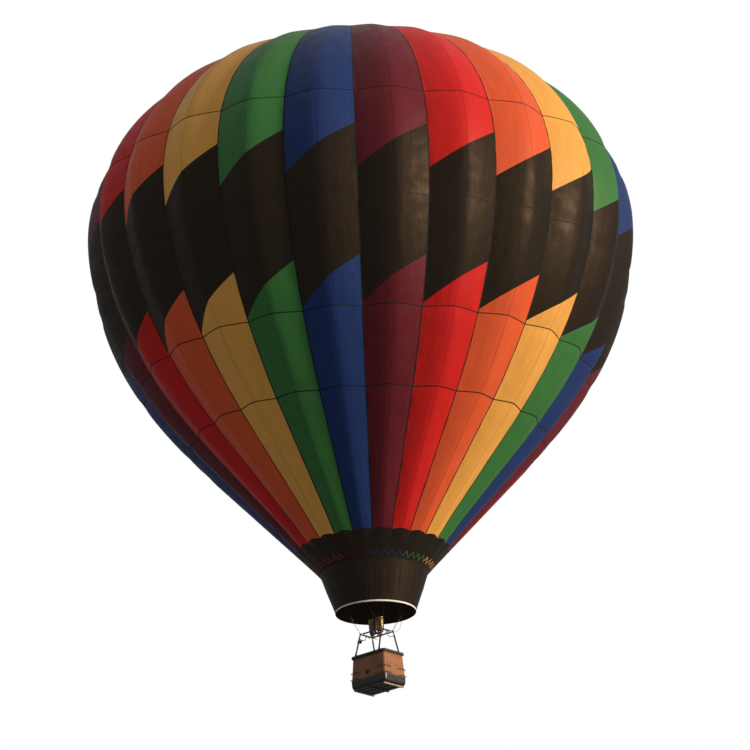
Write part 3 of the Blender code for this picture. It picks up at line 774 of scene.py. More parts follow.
@dataclass(frozen=True)
class Plywood:
    """Varnished birch ply: long grain, faint rings, worn patches."""

    name: str
    light: Colour
    dark: Colour

    def build(self) -> Material:
        """Makes the material on object coordinates, with the grain along Y."""
        g = Graph(self.name, 0.45)
        grain = g.wave(g.coords((1, 0.08, 1)), 22.0, "X", 6.0)
        fine = g.noise(g.coords((1, 0.04, 1)), 160.0, 5)
        colour = g.mix(grain, self.dark, self.light)
        colour = g.mix(g.band(fine, 0.3, 0.7, (0, 0.4)), colour, shade(self.dark, 0.7))
        colour = g.mix(g.band(g.noise(g.coords(), 6.0, 8), 0.55, 0.7, (0, 0.5)), colour, (0.12, 0.09, 0.06))
        return g.done(colour, g.band(fine, 0.2, 0.8, (0.35, 0.7)), g.bump(fine, 0.0005, 0.6))


@dataclass(frozen=True)
class Plain:
    """Rubber or moulded plastic with a fine grain, dust and faint wear."""

    name: str
    colour: Colour
    roughness: float = 0.5
    grain: float = 400.0

    def build(self) -> Material:
        """Makes the material on object coordinates."""
        g = Graph(self.name, self.roughness)
        space = g.coords()
        colour = g.mix(g.noise(space, 20.0, 6), shade(self.colour, 0.7), shade(self.colour, 1.35))
        dust = g.band(g.noise(space, 6.0, 5), 0.55, 0.8, (0, 0.35))
        colour = g.mix(dust, colour, (0.23, 0.20, 0.17))
        fine = g.noise(space, self.grain, 3)
        rough = g.band(fine, 0.2, 0.8, (self.roughness * 0.8, self.roughness * 1.3))
        return g.done(colour, rough, g.bump(fine, 0.0003, 0.4))


@dataclass(frozen=True)
class LaidFibre:
    """Rope and braided line: strands across it, painted shade in the grooves between them, fuzz and grime."""

    name: str
    colour: Colour
    lay: float = 90.0

    def build(self) -> Material:
        """Makes the material on object coordinates."""
        g = Graph(self.name, 0.85)
        strands = g.wave(g.coords(turn=(0.5, 0.7, 0.2)), self.lay, "DIAGONAL", 2.0)
        colour = g.mix(g.noise(g.coords(), 30.0, 5), shade(self.colour, 0.55), shade(self.colour, 1.3))
        # Painted shade: the colour darkens in the grooves between the strands.
        colour = g.mix(g.band(strands, 0, 1, (0.4, 0)), colour, shade(self.colour, 0.35))
        g.set("Sheen Weight", 0.25)
        return g.done(colour, 0.85, g.bump(strands, 0.001, 0.8))


class Wardrobe:
    """Every finish of the balloon, made once."""

    def __init__(self) -> None:
        """Builds the materials."""
        self.nylon = {dye: RipstopNylon(dye).build() for dye in Dye}
        self.ribbon = {
            dye: Webbing("ribbon_" + dye.name.lower(), shade(dye.value, 0.8), 0.002).build() for dye in ROUND
        }
        self.hem = Webbing("hem_tape", (0.80, 0.77, 0.70), 0.002).build()
        self.tape = Webbing("load_tape", (0.014, 0.010, 0.009)).build()
        self.strap = Webbing("strap_webbing", (0.06, 0.06, 0.065), 0.002).build()
        self.tab = Webbing("wire_tab", (0.30, 0.27, 0.22), 0.002).build()
        self.steel = Metal("stainless", (0.25, 0.235, 0.22)).build()
        self.dark_steel = Metal("darkened_steel", (0.075, 0.07, 0.066), roughness=0.42).build()
        self.coil = Metal("heated_coil", (0.80, 0.56, 0.26), (0.42, 0.20, 0.16), 0.24).build()
        self.brass = Metal("brass", (0.83, 0.60, 0.26), None, 0.22).build()
        self.aluminium = Metal("aluminium", (0.72, 0.73, 0.74), None, 0.34, 300.0).build()
        self.cover = Leather("cover_leather", (0.020, 0.017, 0.015), (0.11, 0.085, 0.065), 0.4).build()
        self.thong = Leather("lacing_thong", (0.085, 0.045, 0.022), (0.22, 0.14, 0.08), 0.4, 500.0).build()
        hide = Leather("basket_hide", (0.008, 0.0075, 0.0045), (0.15, 0.10, 0.045), 0.5, 140.0, (0.2, 0.6))
        self.hide = hide.build()
        self.willow = Willow().build()
        # Painted shade: this ply is made dark to stand in for the shade under the basket.
        self.shade_dark_ply = Plywood("ply_darkened_for_shade", (0.095, 0.058, 0.030), (0.040, 0.022, 0.012)).build()
        self.pale_wood = Plywood("ash_runner", (0.42, 0.33, 0.22), (0.22, 0.15, 0.085)).build()
        self.rubber = Plain("hose_rubber", (0.013, 0.013, 0.014), 0.45).build()
        self.plastic = Plain("case_plastic", (0.02, 0.02, 0.022), 0.42).build()
        self.grip = Plain("lever_grip", (0.42, 0.03, 0.02), 0.4).build()
        self.screen = Plain("dial_face", (0.50, 0.52, 0.48), 0.15).build()
        self.rope = LaidFibre("handle_rope", (0.055, 0.034, 0.022)).build()
        self.red_line = LaidFibre("control_line", (0.15, 0.012, 0.010), 220.0).build()
        self.white_line = LaidFibre("shroud_cord", (0.62, 0.60, 0.55), 220.0).build()


# Envelope


@dataclass
class GoreShape:
    """The envelope's curve and the bulge of its gores, in the part's own sizes."""

    widest_r: float = 10.03
    crown_z: float = 7.6
    cap_power: float = 1.98
    cone_top_z: float = -8.4
    base_z: float = BASE_Z
    base_r: float = BASE_R
    gores: int = 24
    bulge_ratio: float = 0.15
    bulge_fade: float = 1.5
    vent_r: float = 2.45
    ridge_power: float = 1.25
    tapes_z: tuple = (1.9, -2.1, -5.6, -7.9)
    pinch_depth: float = 0.035
    pinch_height: float = 0.22
    pucker: float = 0.011
    pucker_reach: float = 0.28

    def __post_init__(self) -> None:
        """Draws the gores' pucker phases, and solves the parabola that runs into the cone."""
        draw = random.Random(24)
        drawn = [draw.uniform(0, tau) for _ in range(self.gores * 2 * 3)]
        self.waves = np.array(drawn).reshape(self.gores, 2, 3)
        self.bend = (self.widest_r - self.base_r) / (
            self.cone_top_z**2 + 2 * self.cone_top_z * (self.base_z - self.cone_top_z)
        )

    def radius(self, z: np.ndarray) -> np.ndarray:
        """The outer radius at the middle of a gore."""
        left = np.clip(1 - np.clip(z / self.crown_z, 0, 1) ** self.cap_power, 0, 1)
        cap = self.widest_r * left ** (1 / self.cap_power)
        bowl = self.widest_r - self.bend * z * z
        cone = self.base_r - 2 * self.bend * self.cone_top_z * (z - self.base_z)
        return np.where(z >= 0, cap, np.where(z >= self.cone_top_z, bowl, cone))

    def cap_height(self, radius: float) -> float:
        """The height of the cap over a radius."""
        return self.crown_z * (1 - (radius / self.widest_r) ** self.cap_power) ** (1 / self.cap_power)

    def cap_rows(self, foot: float, count: int) -> np.ndarray:
        """Heights from the vent's edge to a level, evenly spaced along the cloth."""
        ends = [acos((z / self.crown_z) ** (self.cap_power / 2)) for z in (self.cap_height(self.vent_r), foot)]
        return self.crown_z * np.cos(np.linspace(*ends, count)) ** (2 / self.cap_power)

    def bulge(self, z: np.ndarray) -> np.ndarray:
        """How far the middle of a gore stands outside its seams."""
        top = self.cap_height(self.vent_r)
        fade = np.clip((z - self.base_z) / self.bulge_fade, 0, 1) * np.clip((top - z) / self.bulge_fade, 0, 1)
        return self.bulge_ratio * self.radius(z) * tau / self.gores * fade

    def width(self, z: np.ndarray) -> np.ndarray:
        """A gore's width at a height."""
        return self.radius(z) * tau / self.gores

    def points(self, gore: np.ndarray, u: np.ndarray, z: np.ndarray, lift: float = 0.0) -> np.ndarray:
        """Points of the cloth's outer side.

        Args:
            gore: The numbers of the gores.
            u: Places across the gore, from 0 to 1.
            z: Heights.
            lift: How far outside the cloth the points lie.

        Returns:
            An array of points with the shape of the three arrays together.
        """
        gore, u, z = np.broadcast_arrays(np.asarray(gore), np.asarray(u, float), np.asarray(z, float))
        t = np.abs(2 * u - 1)
        fade = np.clip(self.bulge(z) / 0.2, 0, 1)
        r = self.radius(z) - self.bulge(z) * t**self.ridge_power
        for level in self.tapes_z:
            r = r - self.pinch_depth * (1 - t**2) * np.exp(-(((z - level) / self.pinch_height) ** 2))
        edge = np.minimum(u, 1 - u) * self.width(z)
        phases = self.waves[gore, (u > 0.5).astype(int)]
        ripple = sum(
            np.sin(tau * (z + 0.7 * edge) / length + phases[..., k]) * share
            for k, (length, share) in enumerate(((0.47, 0.5), (0.83, 0.7), (1.9, 0.6)))
        )
        near = np.exp(-edge / self.pucker_reach) * np.clip(edge / 0.04, 0, 1)
        r = r + self.pucker * fade * ripple * near
        step = 0.002
        slope = (self.radius(z + step) - self.radius(z - step)) / (2 * step)
        slope = np.clip(slope, -12, 12)
        size = np.hypot(1, slope)
        angle = PHASE + (gore + u) * tau / self.gores
        r, height = r + lift / size, z - lift * slope / size
        return np.stack([r * np.cos(angle), r * np.sin(angle), height], -1)


Zone = tuple[np.ndarray, Optional[Dye]]


@dataclass
class Envelope:
    """The four rings of gore panels that the horizontal tapes part."""

    shape: GoreShape
    wardrobe: Wardrobe
    columns: int = 12
    row_height: float = 0.10
    cap_count: int = 86
    thickness: float = 0.006
    upper_tape: float = 1.9
    lower_tape: float = -5.6
    cone_z: float = -11.9
    scallop: float = 0.045
    band_top: tuple = (-1.1, 0.55)
    band_foot: tuple = (-5.5, -4.0)
    used_share: float = 0.72

    def across(self) -> np.ndarray:
        """Places across a gore, closer together towards its seams."""
        even = np.linspace(0, 1, self.columns + 1)
        return 0.35 * even + 0.65 * (0.5 - 0.5 * np.cos(pi * even))

    def rows(self, top: float, foot: float) -> np.ndarray:
        """Evenly spaced heights between two levels."""
        return np.linspace(top, foot, max(2, round(abs(top - foot) / self.row_height) + 1))

    def panels(self, name: str, zones: Sequence[Zone], node: str, split: bool = False) -> None:
        """One ring of panels, sewn from all the gores.

        Args:
            name: The piece's name.
            zones: From the top, each zone's heights by row and column, and its dye, or None for the gore's own.
            node: The node it is shown in place of.
            split: Whether the zones' edges step at the seams, so that each gore is a shell of its own.
        """
        u = self.across()
        heights = np.concatenate([zones[0][0][:1], *[rows[1:] for rows, _ in zones]])
        kinds = np.concatenate([np.full(len(rows) - 1, i) for i, (rows, _) in enumerate(zones)])
        dyes = [*ROUND, Dye.BLACK]
        gores = []
        for number in range(self.shape.gores):
            gore = from_grid(name, self.shape.points(number, u, heights), flip=True)
            for dye in dyes:
                gore.data.materials.append(self.wardrobe.nylon[dye])
            own = (number + 3) % len(ROUND)
            slots = [dyes.index(zones[kind][1]) if zones[kind][1] else own for kind in kinds]
            gore.data.polygons.foreach_set("material_index", np.repeat(slots, self.columns).astype(np.int32))
            self.metric_uv(gore, heights, u)
            gores.append(gore)
        made = join(name, gores)
        if not split:
            with editing(made):
                bpy.ops.mesh.select_all(action="SELECT")
                bpy.ops.mesh.remove_doubles(threshold=0.0005)
        modify(made, "SOLIDIFY", thickness=self.thickness, offset=-1.0, use_rim=True)
        place(made, "balloon", [node], 60)

    def metric_uv(self, gore: Thing, heights: np.ndarray, u: np.ndarray) -> None:
        """Lays one gore's UV map in metres: across from its centre seam, and up.

        Args:
            gore: The gore's mesh object.
            heights: The heights of its rows and columns.
            u: The places of its columns across it.
        """
        flat = np.stack([(u[None, :] - 0.5) * self.shape.width(heights), heights], -1)
        corners = np.stack([flat[1:, :-1], flat[1:, 1:], flat[:-1, 1:], flat[:-1, :-1]], 2)
        layer = gore.data.uv_layers.new(name="cut")
        layer.data.foreach_set("uv", corners.reshape(-1))

    def build(self) -> None:
        """Makes the rings."""
        count = self.columns + 1
        level = np.ones((1, count))
        u = self.across()[None, :]
        cap = self.shape.cap_rows(self.upper_tape, self.cap_count)[:, None] * level
        self.panels("top_panels", [(cap, None)], "envelope_top_panels")
        high = self.band_top[0] + (self.band_top[1] - self.band_top[0]) * u
        low = self.band_foot[0] + (self.band_foot[1] - self.band_foot[0]) * u
        share = np.linspace(0, 1, 26)[:, None]
        short = np.linspace(0, 1, 14)[:, None]
        zones = [
            (self.upper_tape + (high - self.upper_tape) * share, None),
            (high + (low - high) * np.linspace(0, 1, 46)[:, None], Dye.BLACK),
            (low + (self.lower_tape - low) * short, None),
        ]
        self.panels("middle_panels", zones, "envelope_middle_panels", split=True)
        edge = self.cone_z + self.scallop * (1 - (2 * u - 1) ** 2)
        share = self.rows(0.0, self.lower_tape - self.cone_z)[:, None] / (self.lower_tape - self.cone_z)
        lower = self.lower_tape + (edge - self.lower_tape) * share
        self.panels("lower_panels", [(lower, None)], "envelope_lower_panels")
        self.panels("base_cone", [(edge + (self.shape.base_z - edge) * short, Dye.BLACK)], "envelope_base_cone")


@dataclass
class LoadTapes:
    """The tapes that part the envelope: one down each seam, and level ones between the rings of panels."""

    shape: GoreShape
    wardrobe: Wardrobe
    width: float = 0.042
    thickness: float = 0.005
    level_width: float = 0.026
    lift: float = 0.003

    def seam_heights(self) -> np.ndarray:
        """Heights of the stations down a seam, from the vent's edge to the base."""
        return np.concatenate([self.shape.cap_rows(0.0, 64), np.linspace(0, self.shape.base_z, 96)[1:]])

    def seam(self, gore: int) -> Thing:
        """One tape over the seam at a gore's left side."""
        heights = self.seam_heights()
        half = self.width / 2 / self.shape.width(heights)
        left = self.shape.points(np.full(1, gore - 1), 1 - half, heights, self.lift)
        middle = self.shape.points(gore, 0.0, heights, self.lift + self.thickness)
        right = self.shape.points(gore, half, heights, self.lift)
        inner = self.shape.points(gore, 0.0, heights, -self.thickness)
        rings = np.stack([left, middle, right, inner], 1)
        return loft(rings, caps=True)

    def level(self, z: float, width: float, lift: float) -> Thing:
        """One tape round the envelope at a height."""
        steps = 16
        u = np.tile(np.linspace(0, 1, steps, endpoint=False), self.shape.gores)
        gore = np.repeat(np.arange(self.shape.gores), steps)
        half = width / 2
        rows = [(half, lift), (half, lift + self.thickness), (-half, lift + self.thickness), (-half, lift)]
        rings = np.stack([self.shape.points(gore, u, z + up, out) for up, out in rows], 1)
        return loft(rings)

    def build(self) -> None:
        """Makes the tapes."""
        finish = self.wardrobe
        seams = [self.seam(gore) for gore in range(self.shape.gores)]
        place(paint(join("load_tapes", seams), finish.tape), "balloon")
        levels = [self.level(z, self.level_width, self.lift) for z in self.shape.tapes_z]
        levels.append(self.level(self.shape.base_z + 0.025, 0.05, self.lift))
        place(paint(join("level_tapes", levels), finish.tape), "balloon")


@dataclass
class Ornament:
    """A row of plain zigzags in a run of the cloth's colours, over the join of the cone and the skirt."""

    shape: GoreShape
    wardrobe: Wardrobe
    low: float = -12.645
    high: float = -12.475
    width: float = 0.048
    peaks: int = 2
    steps: int = 3
    thickness: float = 0.0022
    first: int = 15
    run: tuple = (Dye.RED,) * 4 + (Dye.MAROON,) * 2 + (Dye.BLUE,) * 2 + (Dye.GREEN,) * 2 + (Dye.AMBER,) * 2

    def build(self) -> None:
        """Makes the row."""
        ribbons = []
        turns = 2 * self.peaks
        u = np.linspace(0, 1, turns * self.steps + 1)
        wave = np.abs((u * self.peaks) % 1 - 0.5) * 2
        middle = self.high - (self.high - self.low) * wave
        rows = np.stack([middle + self.width / 2, middle - self.width / 2])
        for gore in range(self.shape.gores):
            ribbon = from_grid("zigzag", self.shape.points(gore, u, rows, 0.0015), flip=True)
            paint(ribbon, self.wardrobe.ribbon[self.run[(gore - self.first) % len(self.run)]])
            ribbons.append(ribbon)
        made = join("ornament_row", ribbons)
        modify(made, "SOLIDIFY", thickness=self.thickness, offset=1.0)
        place(made, "balloon")


@dataclass
class Crown:
    """The crown ring, the tapes that cross the vent, and the parachute valve under them."""

    shape: GoreShape
    wardrobe: Wardrobe
    ring_in: float = 0.11
    ring_out: float = 0.17
    ring_h: float = 0.016
    wide: float = 0.05
    narrow: float = 0.026
    tape_t: float = 0.005
    valve_r: float = 2.75
    lead: float = 0.2
    shrouds: int = 12

    def tapes(self) -> None:
        """The tapes from the ring over the vent's edge, each with a sewn patch at its end."""
        finish = self.wardrobe
        parts = Kit()
        lift = self.tape_t / 2 + FIT * 3
        ring_z = self.shape.crown_z + self.ring_h / 2
        stations = [(self.ring_out - 0.02, ring_z)]
        radii = (1.1, 1.7, self.shape.vent_r, self.valve_r + 0.1)
        stations += [(r, self.shape.cap_height(r) + lift) for r in radii]
        for gore in range(self.shape.gores):
            angle = PHASE + gore * tau / self.shape.gores
            out = Vector((cos(angle), sin(angle), 0))
            side = Vector((-out.y, out.x, 0))
            rows = []
            for i, (r, z) in enumerate(stations):
                middle, half = out * r + UP * z, side * (self.narrow if i == 0 else self.wide) / 2
                thick = UP * self.tape_t / 2
                rows.append([tuple(middle + a * half + b * thick) for a, b in ((-1, -1), (1, -1), (1, 1), (-1, 1))])
            parts.add(finish.tape, loft(np.array(rows), caps=True))
            sewn = self.shape.vent_r + 0.09
            middle = out * sewn + UP * (self.shape.cap_height(sewn) + lift + 0.003)
            slope = self.shape.cap_height(self.shape.vent_r + 0.1) - self.shape.cap_height(self.shape.vent_r)
            along = (out * 0.1 + UP * slope).normalized()
            patch = box((0.13, 0.064, 0.003), middle, 0.0008, (along, side, along.cross(side)))
            parts.add(finish.strap, patch)
        profile = ((self.ring_in, 0.002), (self.ring_in + 0.008, 0.0), (self.ring_out - 0.008, 0.0))
        profile += ((self.ring_out, 0.002), (self.ring_out, 0.014), (self.ring_out - 0.008, 0.016))
        profile += ((self.ring_in + 0.008, 0.016), (self.ring_in, 0.014))
        parts.add(finish.aluminium, lathe(profile, (0, 0, self.shape.crown_z), 64))
        made = join("crown_ring_with_tapes", parts)
        place(made, "balloon", ["crown_ring_and_tapes"])

    def valve(self) -> None:
        """The valve's domed panel, drawn a little down between its own radial tapes."""
        drop = WALL + VALVE_GAP
        radii = np.concatenate([[0.05], np.linspace(0.25, self.valve_r, 22)])
        per = 8
        angle = PHASE + np.arange(self.shape.gores * per) / (self.shape.gores * per) * tau
        across = np.abs(np.sin(np.arange(self.shape.gores * per) / per * pi))
        r = radii[:, None] * np.ones_like(angle)[None, :]
        z = np.array([self.shape.cap_height(v) for v in radii])[:, None] - drop
        z = z - 0.028 * across[None, :] * np.sin(np.clip(r / self.valve_r, 0, 1) * pi) ** 0.7
        z = z - 0.004 * np.sin(radii * 9.0)[:, None] ** 2
        panel = from_grid("parachute", np.stack([r * np.cos(angle), r * np.sin(angle), z], -1), close_across=True)
        for dye in ROUND:
            panel.data.materials.append(self.wardrobe.nylon[dye])
        slots = (np.repeat(np.arange(self.shape.gores), per) + 3) % len(ROUND)
        panel.data.polygons.foreach_set("material_index", np.tile(slots, len(radii) - 1).astype(np.int32))
        uv = np.zeros((len(radii) - 1, len(angle), 4, 2))
        edge = np.arange(len(angle)) % per
        for corner, (row, step) in enumerate(((0, 0), (0, 1), (1, 1), (1, 0))):
            radius = radii[np.arange(len(radii) - 1) + row][:, None]
            uv[:, :, corner, 0] = ((edge[None, :] + step) / per - 0.5) * radius * tau / self.shape.gores
            uv[:, :, corner, 1] = radius
        panel.data.uv_layers.new(name="cut").data.foreach_set("uv", uv.reshape(-1))
        with editing(panel) as mesh:
            bpy.ops.mesh.select_mode(type="EDGE")
            for line in mesh.edges:
                if line.is_boundary and line.verts[0].co.xy.length < 0.1:
                    line.select_set(True)
            bpy.ops.mesh.fill()
        modify(panel, "SOLIDIFY", thickness=0.005, offset=-1.0)
        outwards(panel)
        place(panel, "vent_valve", ["parachute_valve"], 50)

    def rigging(self) -> None:
        """The shroud lines from the valve's edge to the knot of the control line."""
        finish = self.wardrobe
        knot = Vector((0, 0, self.shape.cap_height(0.0) - 2 * WALL - VALVE_GAP - 2 * FIT - self.lead))
        parts = Kit()
        for i in range(self.shrouds):
            angle = PHASE + i * tau / self.shrouds
            out = Vector((cos(angle), sin(angle), 0))
            edge = out * (self.valve_r - 0.06)
            edge.z = self.shape.cap_height(self.valve_r - 0.06) - WALL - VALVE_GAP - 0.012
            parts.add(finish.white_line, rod(knot, edge, 0.0035, 6))
            loop = edge + UP * 0.004
            parts.add(finish.strap, box((0.07, 0.03, 0.006), loop, 0.001, (out, Vector((-out.y, out.x, 0)), UP)))
        parts.add(finish.steel, ring(knot, (0, 0, 1), 0.018, 0.006, 24, 10))
        place(join("valve_shroud_lines", parts), "vent_valve")

    def build(self) -> None:
        """Makes the crown."""
        self.tapes()
        self.valve()
        self.rigging()


@dataclass
class Skirt:
    """The cloth skirt under the cone, gathered a little, with its hem."""

    wardrobe: Wardrobe
    base_r: float = BASE_R
    base_z: float = BASE_Z
    waist_r: float = 1.74
    mouth_r: float = 1.44
    mouth_z: float = -14.1
    cloth_t: float = 0.005
    hem_h: float = 0.06
    hem_t: float = 0.012
    gores: int = 24
    per_gore: int = 10

    def outline(self, z: np.ndarray) -> np.ndarray:
        """The skirt's outer radius at a height."""
        knee = self.base_z - 0.42 * (self.base_z - self.mouth_z)
        return np.interp(-z, (-self.base_z, -knee, -self.mouth_z), (self.base_r, self.waist_r, self.mouth_r))

    def cloth(self) -> Thing:
        """The cloth, with soft gathers that die out at its two edges."""
        count = self.gores * self.per_gore
        z = np.linspace(self.base_z - FIT, self.mouth_z, 22)[:, None]
        turn = np.arange(count)[None, :] / count * tau
        share = (self.base_z - z) / (self.base_z - self.mouth_z)
        draw = random.Random(12)
        fold = np.zeros_like(turn * z)
        for _ in range(9):
            waves, start, size = draw.randint(14, 60), draw.uniform(0, tau), draw.uniform(0.3, 1.0)
            fold = fold + size * np.sin(waves * turn + start + draw.uniform(-1, 1) * share)
        fold = 0.5 + fold / 9
        seam = np.exp(-((np.abs(((np.arange(count) / self.per_gore) % 1) - 0.5) - 0.5) * 9) ** 2)[None, :]
        inward = (0.014 * fold + 0.009 * seam) * np.sin(pi * share) ** 0.6
        r = self.outline(z) - inward
        start_turn = turn + PHASE
        points = np.stack([r * np.cos(start_turn), r * np.sin(start_turn), z * np.ones_like(turn)], -1)
        made = from_grid("skirt_cloth", points, close_across=True, flip=True)
        paint(made, self.wardrobe.nylon[Dye.BLACK])
        places = (np.arange(count) % self.per_gore) / self.per_gore - 0.5
        uv = np.zeros((len(z) - 1, count, 4, 2))
        for corner, (row, step) in enumerate(((1, 0), (1, 1), (0, 1), (0, 0))):
            high = z[np.arange(len(z) - 1) + row]
            uv[:, :, corner, 0] = (places[None, :] + step / self.per_gore) * self.outline(high) * tau / self.gores
            uv[:, :, corner, 1] = high
        made.data.uv_layers.new(name="cut").data.foreach_set("uv", uv.reshape(-1))
        modify(made, "SOLIDIFY", thickness=self.cloth_t, offset=-1.0)
        return place(made, "balloon", ["skirt"], 60)

    def hem(self) -> Thing:
        """The hem, a pale tape outside and black inside."""
        finish = self.wardrobe
        middle, half = self.mouth_r - 0.004, self.hem_t / 2
        top, foot = self.mouth_z - FIT, self.mouth_z - self.hem_h
        profile = [
            (middle + half * 0.5, top),
            (middle + half * 0.95, top - 0.012),
            (middle + half, top - 0.03),
            (middle + half * 0.8, foot + 0.008),
            (middle, foot),
            (middle - half * 0.8, foot + 0.008),
            (middle - half, top - 0.03),
            (middle - half * 0.5, top),
        ]
        made = lathe(profile, (0, 0, 0), 144)
        made.data.materials.append(finish.hem)
        made.data.materials.append(finish.tape)
        for face in made.data.polygons:
            face.material_index = int(face.center.xy.length < middle)
        made.name = "skirt_hem_tape"
        return place(made, "balloon", ["skirt_hem"], 50)

    def build(self) -> None:
        """Makes the skirt."""
        cloth, hem = self.cloth(), self.hem()
        area = sum(face.area for face in cloth.data.polygons) / 2
        area = round(area, 2)


@dataclass
class Rigging:
    """The load frame's own sizes, which the wires, the hoses and the uprights share."""

    frame_z: float = FRAME_Z
    frame_x: float = 0.52
    frame_y: float = 0.33
    corner_r: float = 0.06
    tube_r: float = 0.017
    lug_hole_z: float = 0.036
    thimble_r: float = 1.86
    thimble_z: float = -12.78
    socket_l: float = 0.10
    upright_x: float = 0.56
    rim_y: float = 0.525
    rim_z: float = GROUND_Z + BASKET_H + FIT + 0.096
    upright_r: float = 0.03
    gimbal_x: float = 0.44
    gimbal_tube_r: float = 0.012
    clip: float = 0.03
    can_x: float = 0.18
    block: tuple = (0.07, 0.11, 0.13)
    hose_r: float = 0.011
    hose_lead: float = 0.02
    hose_drop: float = 0.062

    def corner(self, sx: int, sy: int, height: float = 0.0) -> Vector:
        """The middle of a rounded corner of the load frame, or a point above it."""
        cut = self.corner_r * (1 - sqrt(0.5))
        return Vector((sx * (self.frame_x - cut), sy * (self.frame_y - cut), self.frame_z + height))

    def wire_angles(self, corner: int) -> list[float]:
        """The turns at which one corner's three wires leave the envelope."""
        first = PHASE + pi / 24 + corner * pi / 2
        return [first + i * pi / 6 for i in range(3)]

    def thimble(self, angle: float) -> Vector:
        """The middle of a wire's thimble."""
        return Vector((self.thimble_r * cos(angle), self.thimble_r * sin(angle), self.thimble_z))

    def pull(self, corner: int) -> Vector:
        """The direction in which one corner's wires pull together."""
        middle = sum((self.thimble(angle) for angle in self.wire_angles(corner)), Vector()) / 3
        return (middle - self.corner(*CORNERS[corner], self.lug_hole_z)).normalized()

    def across(self, corner: int) -> Vector:
        """The direction across a lug's plate."""
        along = self.pull(corner)
        along.z = 0
        along.normalize()
        return Vector((-along.y, along.x, 0))

    def upright(self, sx: int, sy: int) -> tuple[Vector, Vector]:
        """The line of an upright, from the load frame to the crest of the basket's rim."""
        return self.corner(sx, sy), Vector((sx * self.upright_x, sy * self.rim_y, self.rim_z))

    def clip_middle(self, side: int) -> Vector:
        """The middle of a hose clip under the gimbal ring."""
        low = self.frame_z - self.gimbal_tube_r - self.clip / 2 + 0.004
        return Vector((side * self.gimbal_x, side * 0.075, low))

    def held(
        self, start: Vector, leaving: Point, middle: Sequence[Vector], end: Vector, arriving: Point
    ) -> list[Vector]:
        """A smooth route that leaves its first seat and meets its last one squarely."""
        inner = [start + Vector(leaving) * self.hose_lead, *middle, end - Vector(arriving) * self.hose_lead]
        return [start, *smooth_route(inner, 8), end]

    def fuel_route(self, side: int) -> list[Vector]:
        """The fuel hose's route, from an upright to the gimbal ring's clip."""
        top, foot = self.upright(side, side)
        down = (foot - top).normalized()
        inwards = Vector((0, -side, 0))
        inwards = (inwards - down * inwards.dot(down)).normalized()
        start = top + down * (self.socket_l + self.hose_drop) + inwards * (self.upright_r + FIT)
        end = self.clip_middle(side) - Vector((0, 0, self.clip / 2 + FIT))
        sags = ((0.485, 0.19, 0.035), (0.455, 0.12, 0.02))
        middle = [Vector((side * x, side * y, start.z - down_by)) for x, y, down_by in sags]
        return self.held(start, inwards, middle, end, (0, 0, 1))

    def jumper_route(self, side: int) -> list[Vector]:
        """The jumper hose's route, from the clip to the burner's valve block."""
        inlet = Vector((side * (self.can_x + self.block[0] / 2 + FIT), side * 0.03, self.frame_z - 0.10))
        outlet = self.clip_middle(side) - Vector((side * (self.clip / 2 + FIT), 0, 0))
        middle = [Vector((side * 0.33, side * 0.06, self.frame_z - 0.115))]
        return self.held(outlet, (-side, 0, 0), middle, inlet, (-side, 0, 0))


def length_of(route: Sequence[Vector]) -> float:
    """The length of a line of points."""
    return sum((b - a).length for a, b in zip(route, route[1:]))


